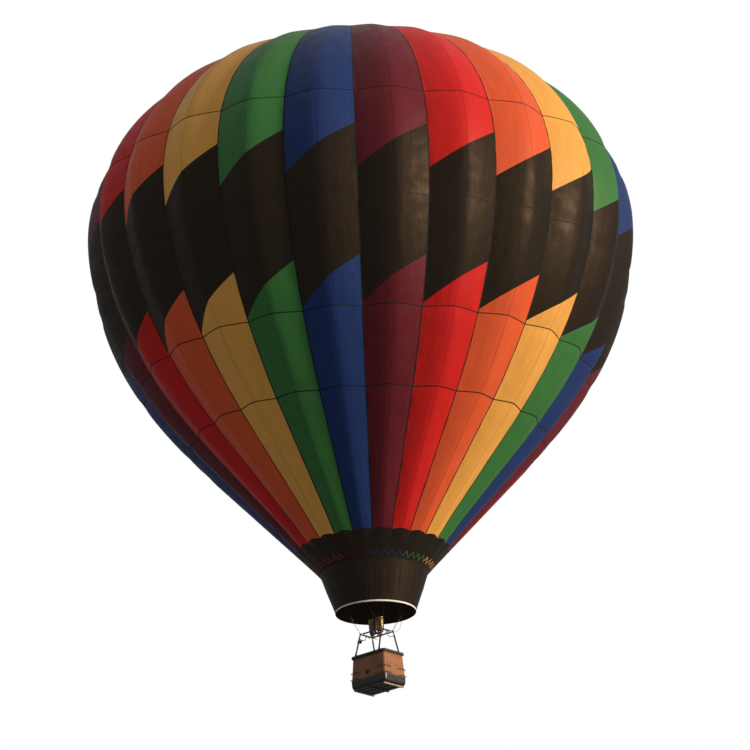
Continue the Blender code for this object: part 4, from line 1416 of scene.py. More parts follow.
@dataclass
class Lines:
    """The soft lines: the fuel hoses, their jumpers and the valve's control line."""

    rig: Rigging
    shape: GoreShape
    wardrobe: Wardrobe
    line_r: float = 0.007
    line_flat_r: float = 0.0063
    belly: tuple = ((0.17, 1.40, -13.72), (0.30, 1.00, -14.39), (0.38, 0.79, -14.68), (0.42, 0.50, -14.86))
    guide_foot: float = -12.66
    guide_size: tuple = (0.05, 0.05, 0.08)
    sunk: float = 0.0034
    angle: float = radians(87.0)

    def ferrule(self, name: str, body: str, point: Vector, near: Vector) -> Thing:
        """A crimped sleeve and its hexagon nut, over one end of a hose.

        Args:
            name: The piece's name.
            body: The body it rides on.
            point: The hose's end.
            near: The route's next point.

        Returns:
            The finished piece.
        """
        finish = self.wardrobe
        along = (near - point).normalized()
        sleeve = rod(point + along * 0.010, point + along * 0.022, self.rig.hose_r + 0.0022, 20, 0.0012)
        nut = rod(point + along * 0.0005, point + along * 0.011, self.rig.hose_r + 0.0045, 6, 0.0012)
        parts = [paint(sleeve, finish.steel), paint(nut, finish.brass)]
        return place(join(name, parts), body)

    def hose(self, node: str, route: list[Vector], bodies: tuple[str, str]) -> None:
        """One hose between two bodies, with its two ferrules.

        Args:
            node: The node it is shown in place of.
            route: The hose's middle line.
            bodies: The bodies that its first and its last end are fixed to.
        """
        ends = [
            self.ferrule(node + "_first_fitting", bodies[0], route[0], route[1]),
            self.ferrule(node + "_last_fitting", bodies[1], route[-1], route[-2]),
        ]
        made = paint(tube(route, self.rig.hose_r, sides=14), self.wardrobe.rubber)
        made.name = node + "_dressed"
        choose(made)
        bpy.ops.object.shade_smooth_by_angle(angle=radians(40))
        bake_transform(made)
        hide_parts(node)
        LOG.info("%s: %.3f m long", made.name, length_of(route))

    def guide_middle(self) -> Vector:
        """The middle of the control line's guide inside the base cone."""
        step = 0.0005
        radius = self.shape.radius(np.array([self.guide_foot - step, self.guide_foot, self.guide_foot + step]))
        slope = (radius[2] - radius[0]) / (2 * step)
        seat = WALL * hypot(1.0, slope) - self.sunk + self.guide_size[0] / 2
        reach = float(radius[1] - self.shape.bulge(np.array([self.guide_foot]))[0] - seat)
        return Vector((reach * cos(self.angle), reach * sin(self.angle), self.guide_foot + self.guide_size[2] / 2))

    def control(self) -> None:
        """The control line, led past the guide block."""
        middle = self.guide_middle()
        out = Vector((cos(self.angle), sin(self.angle), 0))
        held = middle - out * (self.guide_size[0] / 2 + self.line_flat_r + FIT)
        top = Vector((0, 0, self.shape.cap_height(0.0) - 2 * WALL - VALVE_GAP - 2 * FIT))
        end = (0.42, self.rig.frame_y, self.rig.frame_z + self.rig.tube_r + self.line_r + FIT)
        route = [top, top - UP * 0.2, *smooth_route([held, *self.belly, end], 8)]
        made = tube(route, self.line_r, sides=10)
        made.name = "valve_control_line"
        paint(made, self.wardrobe.red_line)
        choose(made)
        bpy.ops.object.shade_smooth_by_angle(angle=SMOOTH_TUBE)
        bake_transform(made)
        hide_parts("control_line")
        LOG.info("valve_control_line: %.2f m long", length_of(route))

    def pulley(self) -> None:
        """The guide: two cheek plates joined by a back plate, a grooved wheel and its pin."""
        finish = self.wardrobe
        middle = self.guide_middle()
        out = Vector((cos(self.angle), sin(self.angle), 0))
        side = UP.cross(out)
        w, d, h = self.guide_size
        parts = Kit()
        for s in (-1, 1):
            cheek = box((w, 0.006, h), middle + side * s * (d / 2 - 0.003), 0.0025, (out, side, UP))
            parts.add(finish.steel, cheek)
        parts.add(finish.steel, box((0.008, d, h), middle + out * (w / 2 - 0.004), 0.002, (out, side, UP)))
        half = w / 2 - 0.002
        groove = half - 0.006
        profile = (
            (0, -0.016), (groove, -0.016), (half, -0.012), (groove, 0.0), (half, 0.012), (groove, 0.016), (0, 0.016)
        )
        wheel = lathe(profile, (0, 0, 0), 32)
        wheel.matrix_world = facing(middle, side)
        parts.add(finish.plastic, settle(wheel))
        parts.add(finish.brass, rod(middle - side * d * 0.52, middle + side * d * 0.52, 0.005, 12, 0.001))
        place(join("line_guide_block", parts), "balloon", ["line_guide"])

    def build(self) -> None:
        """Makes the hoses and the line."""
        for side, name in ((-1, "left"), (1, "right")):
            self.hose(f"fuel_hose_{name}", self.rig.fuel_route(side), ("balloon", "gimbal"))
            self.hose(f"hose_jumper_{name}", self.rig.jumper_route(side), ("gimbal", "burner"))
        self.control()
        self.pulley()


@dataclass
class WireFittings:
    """What ends the flying wires: sewn tabs, thimbles, crimped sleeves and shackle pins."""

    rig: Rigging
    shape: GoreShape
    wardrobe: Wardrobe
    strap_top: float = -12.45
    strap_end: float = -12.72

    def tab(self, angle: float) -> list[Thing]:
        """The webbing tab on the inside of the cone."""
        side = Vector((-sin(angle), cos(angle), 0))
        rows = []
        for z in (self.strap_top + 0.02, (self.strap_top + self.strap_end) / 2, self.strap_end):
            radius = self.shape.radius(np.array([z - 0.001, z, z + 0.001]))
            slope = float(radius[2] - radius[0]) / 0.002
            size = hypot(1.0, slope)
            out = Vector((cos(angle), sin(angle), -slope)) / size
            depth = WALL + 0.0014 + 0.0025 + 0.0045
            reach = float(radius[1]) - depth / size
            rows.append((Vector((reach * cos(angle), reach * sin(angle), z + depth * slope / size)), side, out))
        return [paint(strap(rows, 0.036, 0.0035), self.wardrobe.tab)]

    def build(self) -> None:
        """Makes the fittings."""
        finish = self.wardrobe
        parts = Kit()
        for corner, (sx, sy) in enumerate(CORNERS):
            pull, across = self.rig.pull(corner), self.rig.across(corner)
            hole = self.rig.corner(sx, sy, self.rig.lug_hole_z)
            crown = hole + pull * (2 * 0.05 + 0.004)
            for i, angle in enumerate(self.rig.wire_angles(corner)):
                parts += self.tab(angle)
                thimble = self.rig.thimble(angle)
                foot = crown + across * 0.010 * (i - 1) - pull * 0.002
                down = (foot - thimble).normalized()
                side = Vector((-sin(angle), cos(angle), 0))
                parts.add(finish.steel, ring(thimble, down.cross(side), 0.017, 0.0045, 20, 8))
                parts.add(finish.dark_steel, rod(thimble + down * 0.03, thimble + down * 0.075, 0.0075, 12, 0.0015))
                parts.add(finish.dark_steel, rod(foot - down * 0.035, foot - down * 0.085, 0.0065, 12, 0.0015))
            parts.add(finish.steel, rod(hole - across * 0.030, hole + across * 0.030, 0.0062, 14, 0.001))
            for s in (-1, 1):
                end = hole + across * s * 0.0285
                parts.add(finish.steel, rod(end, end + across * s * 0.006, 0.011, 6, 0.001))
        place(join("wire_fittings", parts), "balloon")


@dataclass
class Burner:
    """The double burner: two cans in their vaporising coils, valves, gauges and levers, hung in the gimbal."""

    rig: Rigging
    wardrobe: Wardrobe
    can_r: float = 0.135
    can_h: float = 0.52
    base: float = FRAME_Z + 0.0303
    coil_r: float = 0.0092
    turns: int = 19
    inner_r: float = 0.1125
    lever_l: float = 0.15

    def coil(self, x: float) -> Thing:
        """The vaporising coil round a can, ending in a pipe down to the valve block."""
        reach = self.can_r - self.coil_r
        points = []
        low, high = self.base + 0.045, self.base + self.can_h - 0.022
        steps = 28
        for i in range(self.turns * steps + 1):
            angle = i / steps * tau
            z = low + (high - low) * i / (self.turns * steps)
            points.append((x + reach * cos(angle), reach * sin(angle), z))
        points = [(x + reach * 0.99, -0.02, self.base + 0.004), (x + reach, -0.008, self.base + 0.02), *points]
        return paint(tube(points, self.coil_r, sides=8), self.wardrobe.coil)

    def shell(self, x: float) -> list[Thing]:
        """The can's thin inner wall, its rolled lip, its bottom plate and the jet ring."""
        finish = self.wardrobe
        r, base, top = self.inner_r, self.base, self.base + self.can_h
        profile = (
            (0, base + 0.030), (0, base + 0.001), (r - 0.02, base), (r + 0.0015, base + 0.014),
            (r + 0.0015, top - 0.004), (r + 0.006, top), (r + 0.004, top - 0.001),
            (r - 0.0005, top - 0.006), (r - 0.0005, base + 0.030),
        )
        parts = Kit([paint(lathe(profile, (x, 0, 0), 48), finish.dark_steel)])
        parts.add(finish.coil, ring((x, 0, base + 0.075), UP, 0.072, 0.008, 36, 10))
        for i in range(18):
            angle = i / 18 * tau
            foot = Vector((x + 0.072 * cos(angle), 0.072 * sin(angle), base + 0.078))
            parts.add(finish.brass, rod(foot, foot + UP * 0.016, 0.0035, 8))
        for angle in (0.6, 2.7, 4.8):
            arm = Vector((cos(angle), sin(angle), 0))
            start = Vector((x, 0, base + 0.06))
            parts.add(finish.steel, rod(start, start + arm * 0.072 + UP * 0.012, 0.005, 8))
        parts.add(finish.brass, rod((x, 0, base + 0.02), (x, 0, base + 0.09), 0.014, 16, 0.003))
        return parts

    def cage(self, x: float) -> list[Thing]:
        """The flat bars that hold the coil's turns apart."""
        finish = self.wardrobe
        parts = Kit()
        for i in range(4):
            angle = (i + 0.5) / 4 * tau
            out = Vector((cos(angle), sin(angle), 0))
            middle = Vector((x, 0, self.base + self.can_h / 2 + 0.01)) + out * (self.can_r - 0.0185)
            parts.add(finish.steel, box((0.004, 0.016, self.can_h - 0.05), middle, 0.001, (out, UP.cross(out), UP)))
        return parts

    def can(self, side: int) -> None:
        """One can with its coil."""
        x = side * self.rig.can_x
        parts = [self.coil(x), *self.shell(x), *self.cage(x)]
        name = "left" if side < 0 else "right"
        place(join(f"burner_{name}_coil_can", parts), "burner", [f"burner_can_{name}"], 45)

    def gauge(self, middle: Vector, way: Vector) -> list[Thing]:
        """A pressure gauge with a plain dial and a needle."""
        profile = (
            (0, -0.012), (0.024, -0.012), (0.027, -0.008), (0.027, 0.008),
            (0.025, 0.011), (0.023, 0.009), (0.023, 0.006), (0, 0.006),
        )
        case = lathe(profile, (0, 0, 0), 28)
        dial = lathe(((0, 0.0065), (0.0225, 0.0065), (0.0225, 0.0075), (0, 0.0075)), (0, 0, 0), 28)
        needle = box((0.002, 0.017, 0.001), (0.003, 0.005, 0.0085))
        turn = facing(middle, way)
        finishes = (self.wardrobe.brass, self.wardrobe.screen, self.wardrobe.plastic)
        for thing, finish in zip((case, dial, needle), finishes):
            thing.matrix_world = turn
            paint(settle(thing), finish)
        return [case, dial, needle]

    def valves(self, side: int) -> list[Thing]:
        """The valve block's fittings: cap, gauge, pilot knob, lever with its grip, and a pipe to the coil."""
        finish = self.wardrobe
        x, low = side * self.rig.can_x, self.rig.frame_z - 0.03 - self.rig.block[2] / 2 + 0.005
        parts = Kit()
        for y in (-0.03, 0.03):
            parts.add(finish.brass, rod((x, y, low - 0.062), (x, y, low - 0.082), 0.014, 6, 0.002))
        parts += self.gauge(Vector((x, side * 0.072, low + 0.01)), Vector((0, side, -0.35)).normalized())
        knob = Vector((x - side * 0.036, 0.01, low - 0.02))
        parts.add(finish.grip, rod(knob, knob - Vector((side * 0.022, 0, 0)), 0.013, 10, 0.003))
        parts.add(finish.brass, rod((x, -side * 0.056, low - 0.028), (x, -side * 0.064, low - 0.032), 0.017, 18, 0.002))
        start = Vector((x, -side * 0.04, low - 0.02))
        end = Vector((x, -side * (0.04 + self.lever_l), low - 0.07))
        along = (end - start).normalized()
        parts.add(finish.grip, rod(end - along * 0.085, end + along * 0.003, 0.0125, 18, 0.004))
        outside = Vector((side * 0.034, 0, 0))
        pipe = [
            Vector((x, -0.03, low + 0.03)) + outside,
            Vector((x, -0.06, low + 0.03)) + outside * 1.3,
            Vector((x, -0.09, low + 0.07)) + outside * 1.5,
            Vector((x, -0.085, low + 0.10)) + outside * 1.6,
            Vector((x + side * 0.085, -0.05, self.base + 0.012)),
        ]
        parts.add(finish.coil, tube(smooth_route(pipe, 5), 0.007, sides=8))
        return parts

    def build(self) -> None:
        """Makes the burner's dressed pieces and paints the steelwork that carries it."""
        finish = self.wardrobe
        parts = Kit()
        for side in (-1, 1):
            self.can(side)
            parts += self.valves(side)
        for x, y in ((-0.28, 0.0), (0.28, 0.0), (0.0, -0.19), (0.0, 0.19)):
            for s in (-1, 1):
                bolt = Vector((x, y, self.rig.frame_z + s * 0.03))
                parts.add(finish.dark_steel, rod(bolt, bolt + UP * s * 0.006, 0.009, 6, 0.001))
        place(join("burner_fittings", parts), "burner")
        trim = Kit()
        for side in (-1, 1):
            end = Vector((side * (self.rig.frame_x + 0.023), 0, self.rig.frame_z))
            trim.add(finish.dark_steel, rod(end, end + Vector((side * 0.007, 0, 0)), 0.017, 6, 0.002))
            clip = self.rig.clip_middle(side)
            trim.add(finish.dark_steel, box((0.034, 0.012, 0.034), clip, 0.002))
        place(join("gimbal_trim", trim), "gimbal")
        for node in ("load_frame", "gimbal_ring", "burner_beam"):
            paint(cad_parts[node], finish.steel)
        for corner in (1, 2, 3, 4):
            paint(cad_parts[f"flying_wires_{corner}"], finish.dark_steel)


@dataclass
class BasketShape:
    """The basket's outline, in the part's own sizes: heights count from the ground under its skids."""

    ground_z: float = GROUND_Z
    corner_r: float = 0.09
    wall_t: float = 0.040
    top: float = BASKET_H
    hide_top: float = 0.36
    hide_t: float = 0.006
    loops: tuple = (
        (BASKET_H, 0.760, 0.510),
        (0.75, 0.785, 0.535),
        (0.33, 0.812, 0.562),
        (0.16, 0.806, 0.556),
        (0.09, 0.785, 0.535),
        (0.05, 0.750, 0.500),
    )
    foot_hole_z: float = 0.56
    foot_hole: tuple = (0.17, 0.12)
    handle_heights: tuple = (0.64, 0.40)
    handle_r: float = 0.012
    handle_reach: float = 0.22
    handle_off: float = 0.045

    def size(self, height: float) -> tuple[float, float]:
        """The wall's outer half length and half width at a height."""
        heights, xs, ys = zip(*reversed(self.loops))
        return float(np.interp(height, heights, xs)), float(np.interp(height, heights, ys))

    def loop(self, height: float, inset: np.ndarray, long: int, short: int, corner: int) -> np.ndarray:
        """Points round the wall at a height, each moved inwards by its own inset.

        Args:
            height: The height.
            inset: One inset for each point, or one for all.
            long: How many points a long side has.
            short: How many points a short side has.
            corner: How many points a corner has.

        Returns:
            The points, anticlockwise from the start of the +X, +Y corner.
        """
        half_x, half_y = self.size(height)
        r = self.corner_r
        spots, outs = [], []
        for turn, (sx, sy) in enumerate(CORNERS):
            for i in range(corner):
                angle = (turn + i / corner) * pi / 2
                out = (cos(angle), sin(angle))
                spots.append((sx * (half_x - r) + r * out[0], sy * (half_y - r) + r * out[1]))
                outs.append(out)
            angle = (turn + 1) * pi / 2
            out = (round(cos(angle)), round(sin(angle)))
            count, reach = (long, half_x - r) if out[1] else (short, half_y - r)
            for i in range(count):
                along = reach * (1 - 2 * i / count)
                x, y = (along * sx, sy * half_y) if out[1] else (sx * half_x, along * sy)
                spots.append((x, y))
                outs.append(out)
        spots, outs = np.array(spots), np.array(outs)
        spots = spots - outs * np.broadcast_to(inset, len(spots))[:, None]
        return np.column_stack([spots, np.full(len(spots), self.ground_z + height)])

    def handle(self, sx: int, sy: int, height: float) -> list[Point]:
        """A rope handle's route round one corner."""
        half_x, half_y = self.size(height)
        off = self.handle_off + (self.hide_t if height < self.hide_top + 0.05 else 0)
        skin = FIT + 0.0005 + (self.hide_t + FIT if height < self.hide_top else 0)
        near, side = off * 0.6, self.corner_r + self.handle_reach
        points = [
            (half_x - side, half_y + skin),
            (half_x - side, half_y + near),
            (half_x - self.corner_r - 0.10, half_y + off),
            (half_x - 0.035, half_y + off * 0.62),
            (half_x + off * 0.62, half_y - 0.035),
            (half_x + off, half_y - self.corner_r - 0.10),
            (half_x + near, half_y - side),
            (half_x + skin, half_y - side),
        ]
        return [(sx * x, sy * y, self.ground_z + height) for x, y in points]


@dataclass
class Wicker:
    """The woven wall: willow rods over and under upright stakes, with bands of waling, and two foot holes."""

    shape: BasketShape
    wardrobe: Wardrobe
    long_stakes: int = 28
    short_stakes: int = 18
    corner_stakes: int = 3
    per_stake: int = 3
    rows: int = 66
    relief: float = 0.0042
    waled: tuple = (3, 4, 5, 22, 23, 24, 43, 44, 45)

    def heights(self) -> np.ndarray:
        """The rows' edges, evenly spaced down the wall."""
        return np.linspace(self.shape.top, self.shape.loops[-1][0], self.rows + 1)

    def build(self) -> None:
        """Weaves the wall as one closed skin, and cuts and lines its foot holes."""
        draw = random.Random(7)
        counts = [n * self.per_stake for n in (self.long_stakes, self.short_stakes, self.corner_stakes)]
        total = 2 * counts[0] + 2 * counts[1] + 4 * counts[2]
        stake = np.arange(total) / self.per_stake
        edges = self.heights()
        rings, depths, tones = [], [], []
        for row in range(self.rows):
            chunk = draw.uniform(14, 40)
            shift = draw.uniform(0, 40)
            shades = [draw.random() for _ in range(12)]
            tone = np.array([shades[int((v + shift) // chunk) % 12] for v in stake])
            if row in self.waled:
                over = np.cos(2 * pi * (stake + row) / 3)
            else:
                over = np.cos(pi * (stake + row))
            for part, share in ((0, 0.0), (1, 0.33), (2, 0.67)):
                height = edges[row] + (edges[row + 1] - edges[row]) * share
                sink = self.relief * (1.9 if part == 0 else 1.0 - over)
                rings.append(self.shape.loop(height, sink, *counts))
                depths.append(1 - sink / (2 * self.relief) * np.ones(total))
                tones.append(tone)
        inner = np.linspace(edges[-1], edges[0], self.rows // 2 + 1)
        for row, height in enumerate(inner):
            over = np.cos(pi * (stake + row))
            rings.append(self.shape.loop(height, self.shape.wall_t - self.relief * (0.5 + 0.5 * over), *counts))
            depths.append(0.55 + 0.45 * over)
            tones.append(np.full(total, draw.random()))
        grid = np.array(rings)
        made = from_grid("wicker_weave", np.concatenate([grid, grid[:1]]), close_across=True, flip=True)
        # depth: how far in each point sits, which the willow finish turns into painted shade; strand: each rod's tone.
        for name, rows in (("depth", depths), ("strand", tones)):
            values = np.concatenate([np.array(rows), np.array(rows[:1])]).reshape(-1)
            made.data.attributes.new(name, "FLOAT", "POINT").data.foreach_set("value", values.astype(np.float32))
        with editing(made):
            bpy.ops.mesh.select_all(action="SELECT")
            bpy.ops.mesh.remove_doubles(threshold=0.00001)
        self.cut_holes(made)
        with editing(made):
            bpy.ops.mesh.select_all(action="SELECT")
            bpy.ops.mesh.normals_make_consistent(inside=False)
        paint(made, self.wardrobe.willow)
        place(made, "balloon", ["wicker_walls"], 70)
        self.line_holes()

    def cut_holes(self, made: Thing) -> None:
        """Cuts the two foot holes through both sides of the wall and bridges their edges."""
        width, height = self.shape.foot_hole
        middle = self.shape.ground_z + self.shape.foot_hole_z
        for side in (-1, 1):
            with editing(made) as mesh:
                for face in mesh.faces:
                    x, y, z = face.calc_center_median()
                    face.select_set(abs(x) < width / 2 and abs(z - middle) < height / 2 and y * side > 0.3)
                bpy.ops.mesh.delete(type="FACE")
                bpy.ops.mesh.select_mode(type="EDGE")
                mesh = bmesh.from_edit_mesh(made.data)
                for edge in mesh.edges:
                    edge.select_set(edge.is_boundary and edge.verts[0].co.y * side > 0)
                bpy.ops.mesh.bridge_edge_loops()

    def line_holes(self) -> None:
        """Binds each foot hole with a leather-bound ring."""
        finish = self.wardrobe
        parts = Kit()
        width, height = self.shape.foot_hole
        middle = self.shape.ground_z + self.shape.foot_hole_z
        half_y = self.shape.size(self.shape.foot_hole_z)[1]
        for side in (-1, 1):
            for depth in (0.001, self.shape.wall_t - 0.001):
                loop = rounded_rectangle(width / 2 + 0.002, height / 2 + 0.002, 0.022, 0, 5)
                route = [(x, side * (half_y - depth), middle + z) for x, z, _ in loop]
                parts.add(finish.hide, tube(route, 0.008, cyclic=True, sides=10))
            sleeve = [rounded_rectangle(width / 2 + grow, height / 2 + grow, 0.022, 0, 5) for grow in (0.0, 0.003)]
            rings = []
            for which, depth in ((0, 0.0), (0, self.shape.wall_t), (1, self.shape.wall_t), (1, 0.0)):
                rings.append([(x, side * (half_y - depth), middle + z) for x, z, _ in sleeve[which]])
            parts.add(finish.hide, loft(np.array(rings)))
        place(join("foot_hole_binding", parts), "balloon")


@dataclass
class Hide:
    """The thick hide round the basket's foot, laced at its top edge and scuffed from landings."""

    shape: BasketShape
    wardrobe: Wardrobe
    columns: tuple = (60, 40, 10)

    def build(self) -> None:
        """Makes the hide and its stitches."""
        top, foot = self.shape.hide_top, self.shape.loops[-1][0]
        total = 2 * self.columns[0] + 2 * self.columns[1] + 4 * self.columns[2]
        turn = np.arange(total) / total * tau
        draw = random.Random(31)
        waves = [(draw.randint(5, 40), draw.uniform(0, 6.28), draw.uniform(6, 40)) for _ in range(8)]
        outer = []
        heights = np.concatenate([np.linspace(top, 0.16, 14), np.linspace(0.16, foot, 9)[1:]])
        for height in heights:
            dent = sum(np.sin(n * turn + start + height * steep) for n, start, steep in waves) / 8
            sink = 0.0022 * (0.5 - 0.5 * dent) - self.shape.hide_t - FIT
            outer.append(self.shape.loop(height, sink, *self.columns))
        inner = [self.shape.loop(height, -FIT, *self.columns) for height in heights[::-1][::3]]
        made = paint(loft(np.array([*outer, *inner])), self.wardrobe.hide)
        made.name = "foot_hide"
        place(made, "balloon", ["hide_band"], 60)
        self.stitch(top)

    def stitch(self, top: float) -> None:
        """Sews the hide's top edge to the wicker with slanted thongs, and studs its corners."""
        finish = self.wardrobe
        parts, spots, studs = [], [], []
        for height in (top - 0.022, top + 0.004):
            loop = self.shape.loop(height, -self.shape.hide_t - FIT - 0.0008, 60, 40, 4)
            for i in range(0, len(loop), 2):
                here, after = Vector(loop[i]), Vector(loop[(i + 1) % len(loop)])
                along = after - here
                spots.append(standing((here + after) / 2, along + UP * 0.008, UP.cross(along)))
        thong = paint(box((0.024, 0.0035, 0.005), (0, 0, 0), 0.0009), finish.thong)
        parts.append(copies(thong, spots))
        for height in (0.30, 0.21, 0.12):
            loop = self.shape.loop(height, -self.shape.hide_t - FIT, 60, 40, 10)
            for i in range(len(loop)):
                if i % 60 in (3, 27) or i % 45 == 9:
                    here, after = Vector(loop[i]), Vector(loop[(i + 1) % len(loop)])
                    studs.append(standing(here, after - here, UP))
        stud = paint(rod((0, 0, -0.001), (0, 0, 0.003), 0.008, 10, 0.0012), finish.dark_steel)
        parts.append(copies(stud, studs))
        place(join("hide_stitches", parts), "balloon")


@dataclass
class Rim:
    """The padded leather rim: sewn in puffs over foam, and laced to the wall under it."""

    shape: BasketShape
    wardrobe: Wardrobe
    section: tuple = (
        (-0.030, 0.0), (-0.036, 0.045), (-0.032, 0.080), (-0.018, 0.096), (0.026, 0.096), (0.050, 0.080),
        (0.063, 0.045), (0.056, 0.006), (0.036, -0.016), (0.004, -0.016), (0.002, 0.0),
    )
    columns: tuple = (44, 28, 9)
    seam_pitch: int = 11
    shrink: float = 0.92
    pressure: float = 3.5
    frames: int = 18
    cap: float = 0.0075

    def round_section(self) -> np.ndarray:
        """The section as a smooth closed curve, a little smaller than the space it fills."""
        points = [Vector((*p, 0)) for p in self.section]
        closed = smooth_route([*points[-2:], *points, *points[:2]], 3)
        curve = np.array([tuple(p)[:2] for p in closed[6:-6]])[:-1]
        middle = curve.mean(axis=0)
        return middle + (curve - middle) * self.shrink

    def build(self) -> None:
        """Makes the rim and its lacing."""
        section = self.round_section()
        loops = []
        for out, up in section:
            base = self.shape.loop(self.shape.top, -out, *self.columns)
            base[:, 2] += FIT + up
            loops.append(base)
        rings = np.array(loops).transpose(1, 0, 2)
        seams = set(range(0, len(rings), self.seam_pitch))
        centre = rings.mean(axis=1, keepdims=True)
        for i in range(len(rings)):
            near = min(abs(i - s) for s in (*seams, len(rings)))
            if near <= 1:
                rings[i] = centre[i] + (rings[i] - centre[i]) * (0.88 if near == 0 else 0.965)
        made = loft(rings)
        made.name = "rim_padding"
        self.puff(made, {i * len(section) + k for i in seams for k in range(len(section))})
        modify(made, "SUBSURF", levels=1)
        paint(made, self.wardrobe.cover)
        place(made, "balloon", ["padded_rim"], 80)
        self.lacing()

    def puff(self, made: Thing, sewn: set[int]) -> None:
        """Swells the pad between its seams by a short cloth simulation, capped so that it keeps its size.

        Args:
            made: The pad.
            sewn: The vertices that the seams hold.
        """
        mesh = made.data
        start = np.array([v.co[:] for v in mesh.vertices])
        low = start[:, 2] < self.shape.ground_z + self.shape.top + FIT + 0.012
        group = made.vertex_groups.new(name="held")
        group.add([int(i) for i in np.where(low)[0]], 1.0, "REPLACE")
        group.add([i for i in sewn if i < len(start)], 1.0, "REPLACE")
        cloth = made.modifiers.new("cloth", "CLOTH")
        cloth.settings.vertex_group_mass = "held"
        cloth.settings.use_pressure = True
        cloth.settings.uniform_pressure_force = self.pressure
        cloth.settings.effector_weights.gravity = 0.0
        cloth.settings.quality = 5
        cloth.settings.tension_stiffness = 12.0
        cloth.settings.compression_stiffness = 12.0
        cloth.settings.mass = 0.3
        cloth.point_cache.frame_end = self.frames
        for number in range(1, self.frames + 1):
            bpy.context.scene.frame_set(number)
        depsgraph = bpy.context.evaluated_depsgraph_get()
        swollen = made.evaluated_get(depsgraph).to_mesh()
        moved = np.array([v.co[:] for v in swollen.vertices]) - start
        made.modifiers.remove(cloth)
        bpy.context.scene.frame_set(1)
        size = np.linalg.norm(moved, axis=1, keepdims=True)
        moved = moved * np.minimum(1.0, self.cap / np.maximum(size, 1e-9))
        mesh.vertices.foreach_set("co", (start + moved).reshape(-1))
        mesh.update()
        LOG.info("rim_padding: swollen by %.1f mm at most", float(size.clip(0, self.cap).max()) * 1000)

    def lacing(self) -> None:
        """Laces the rim's lower edge to the wicker with leather thongs."""
        spots = []
        loop = self.shape.loop(self.shape.top - 0.028, -0.0035, 44, 28, 4)
        for i in range(len(loop)):
            here, after = Vector(loop[i]), Vector(loop[(i + 1) % len(loop)])
            spots.append(standing((here + after) / 2, UP * 0.9 + (after - here).normalized() * 0.45, after - here))
        thong = paint(box((0.052, 0.006, 0.004), (0, 0, 0), 0.0012), self.wardrobe.thong)
        place(join("rim_lacing", [copies(thong, spots)]), "balloon")


@dataclass
class Floor:
    """The plywood floor on its battens, with skids under it: the board, the battens and the middle skid dark as painted
    shade, the two outer skids pale ash.
    """

    shape: BasketShape
    wardrobe: Wardrobe
    skid_h: float = 0.05
    skid_w: float = 0.07
    skid_x: float = 0.70
    skid_y: float = 0.52
    batten_y: float = 0.30
    board_t: float = 0.025

    def build(self) -> None:
        """Makes the floor."""
        finish = self.wardrobe
        ground = self.shape.ground_z
        half_x, half_y = (half - self.shape.wall_t - FIT for half in self.shape.loops[-1][1:])
        loop = rounded_rectangle(half_x, half_y, self.shape.corner_r - self.shape.wall_t, ground + self.skid_h, 6)
        lid = [(x, y, z + self.board_t) for x, y, z in loop]
        board = loft(np.array([loop, lid]), caps=True)
        modify(board, "BEVEL", width=0.002, segments=2, limit_method="ANGLE", angle_limit=radians(60))
        # Painted shade: the board, the battens and the middle skid are dark, standing in for the shade under the
        # basket.
        parts = Kit([paint(board, finish.shade_dark_ply)])
        reach = self.skid_h - 2 * FIT
        bolts = []
        for x in (-self.skid_x, 0, self.skid_x):
            runner = box((self.skid_w, 2 * self.skid_y, reach), (x, 0, ground + reach / 2), 0.005)
            with editing(runner) as mesh:
                for vert in mesh.verts:
                    vert.select_set(abs(vert.co.y) > self.skid_y - 0.01 and vert.co.z < ground + 0.02)
                bpy.ops.mesh.select_mode(type="VERT")
                bpy.ops.transform.resize(value=(1, 0.95, 1), center_override=(x, 0, ground))
            parts.add(finish.pale_wood if x else finish.shade_dark_ply, runner)
            for y in (-self.batten_y, 0, self.batten_y):
                bolts.append(Matrix.Translation((x, y, ground + 0.001)))
        sunk = 0.4 * self.board_t
        for y in (-self.batten_y, 0, self.batten_y):
            size = (2 * self.skid_x, self.skid_w, self.skid_h / 2 + sunk)
            parts.add(finish.shade_dark_ply, box(size, (0, y, ground + self.skid_h * 0.75 + sunk / 2), 0.003))
        bolt = paint(rod((0, 0, -0.0005), (0, 0, 0.004), 0.011, 12, 0.001), finish.dark_steel)
        parts.append(copies(bolt, bolts))
        place(join("floor_boards_and_skids", parts), "balloon", ["floor_and_skids"])


@dataclass
class Handles:
    """The rope handles round the basket's corners, with a leather eyelet at each end."""

    shape: BasketShape
    wardrobe: Wardrobe

    def build(self) -> None:
        """Makes the handles."""
        finish = self.wardrobe
        for corner, (sx, sy) in enumerate(CORNERS):
            for level, height in enumerate(self.shape.handle_heights):
                route = smooth_route(self.shape.handle(sx, sy, height), 9)
                rope = paint(laid_rope(route, self.shape.handle_r, 0.045, 12), finish.rope)
                parts = Kit([rope])
                for end, near in ((route[0], route[1]), (route[-1], route[-2])):
                    along = (near - end).normalized()
                    eyelet = ring(end + along * 0.004, along, 0.0155, 0.0042, 20, 8)
                    parts.add(finish.hide, eyelet)
                name = f"rope_handle_{corner + 1}_{'upper' if level == 0 else 'lower'}"
                place(join(name + "_laid", parts), "balloon", [name], 50)


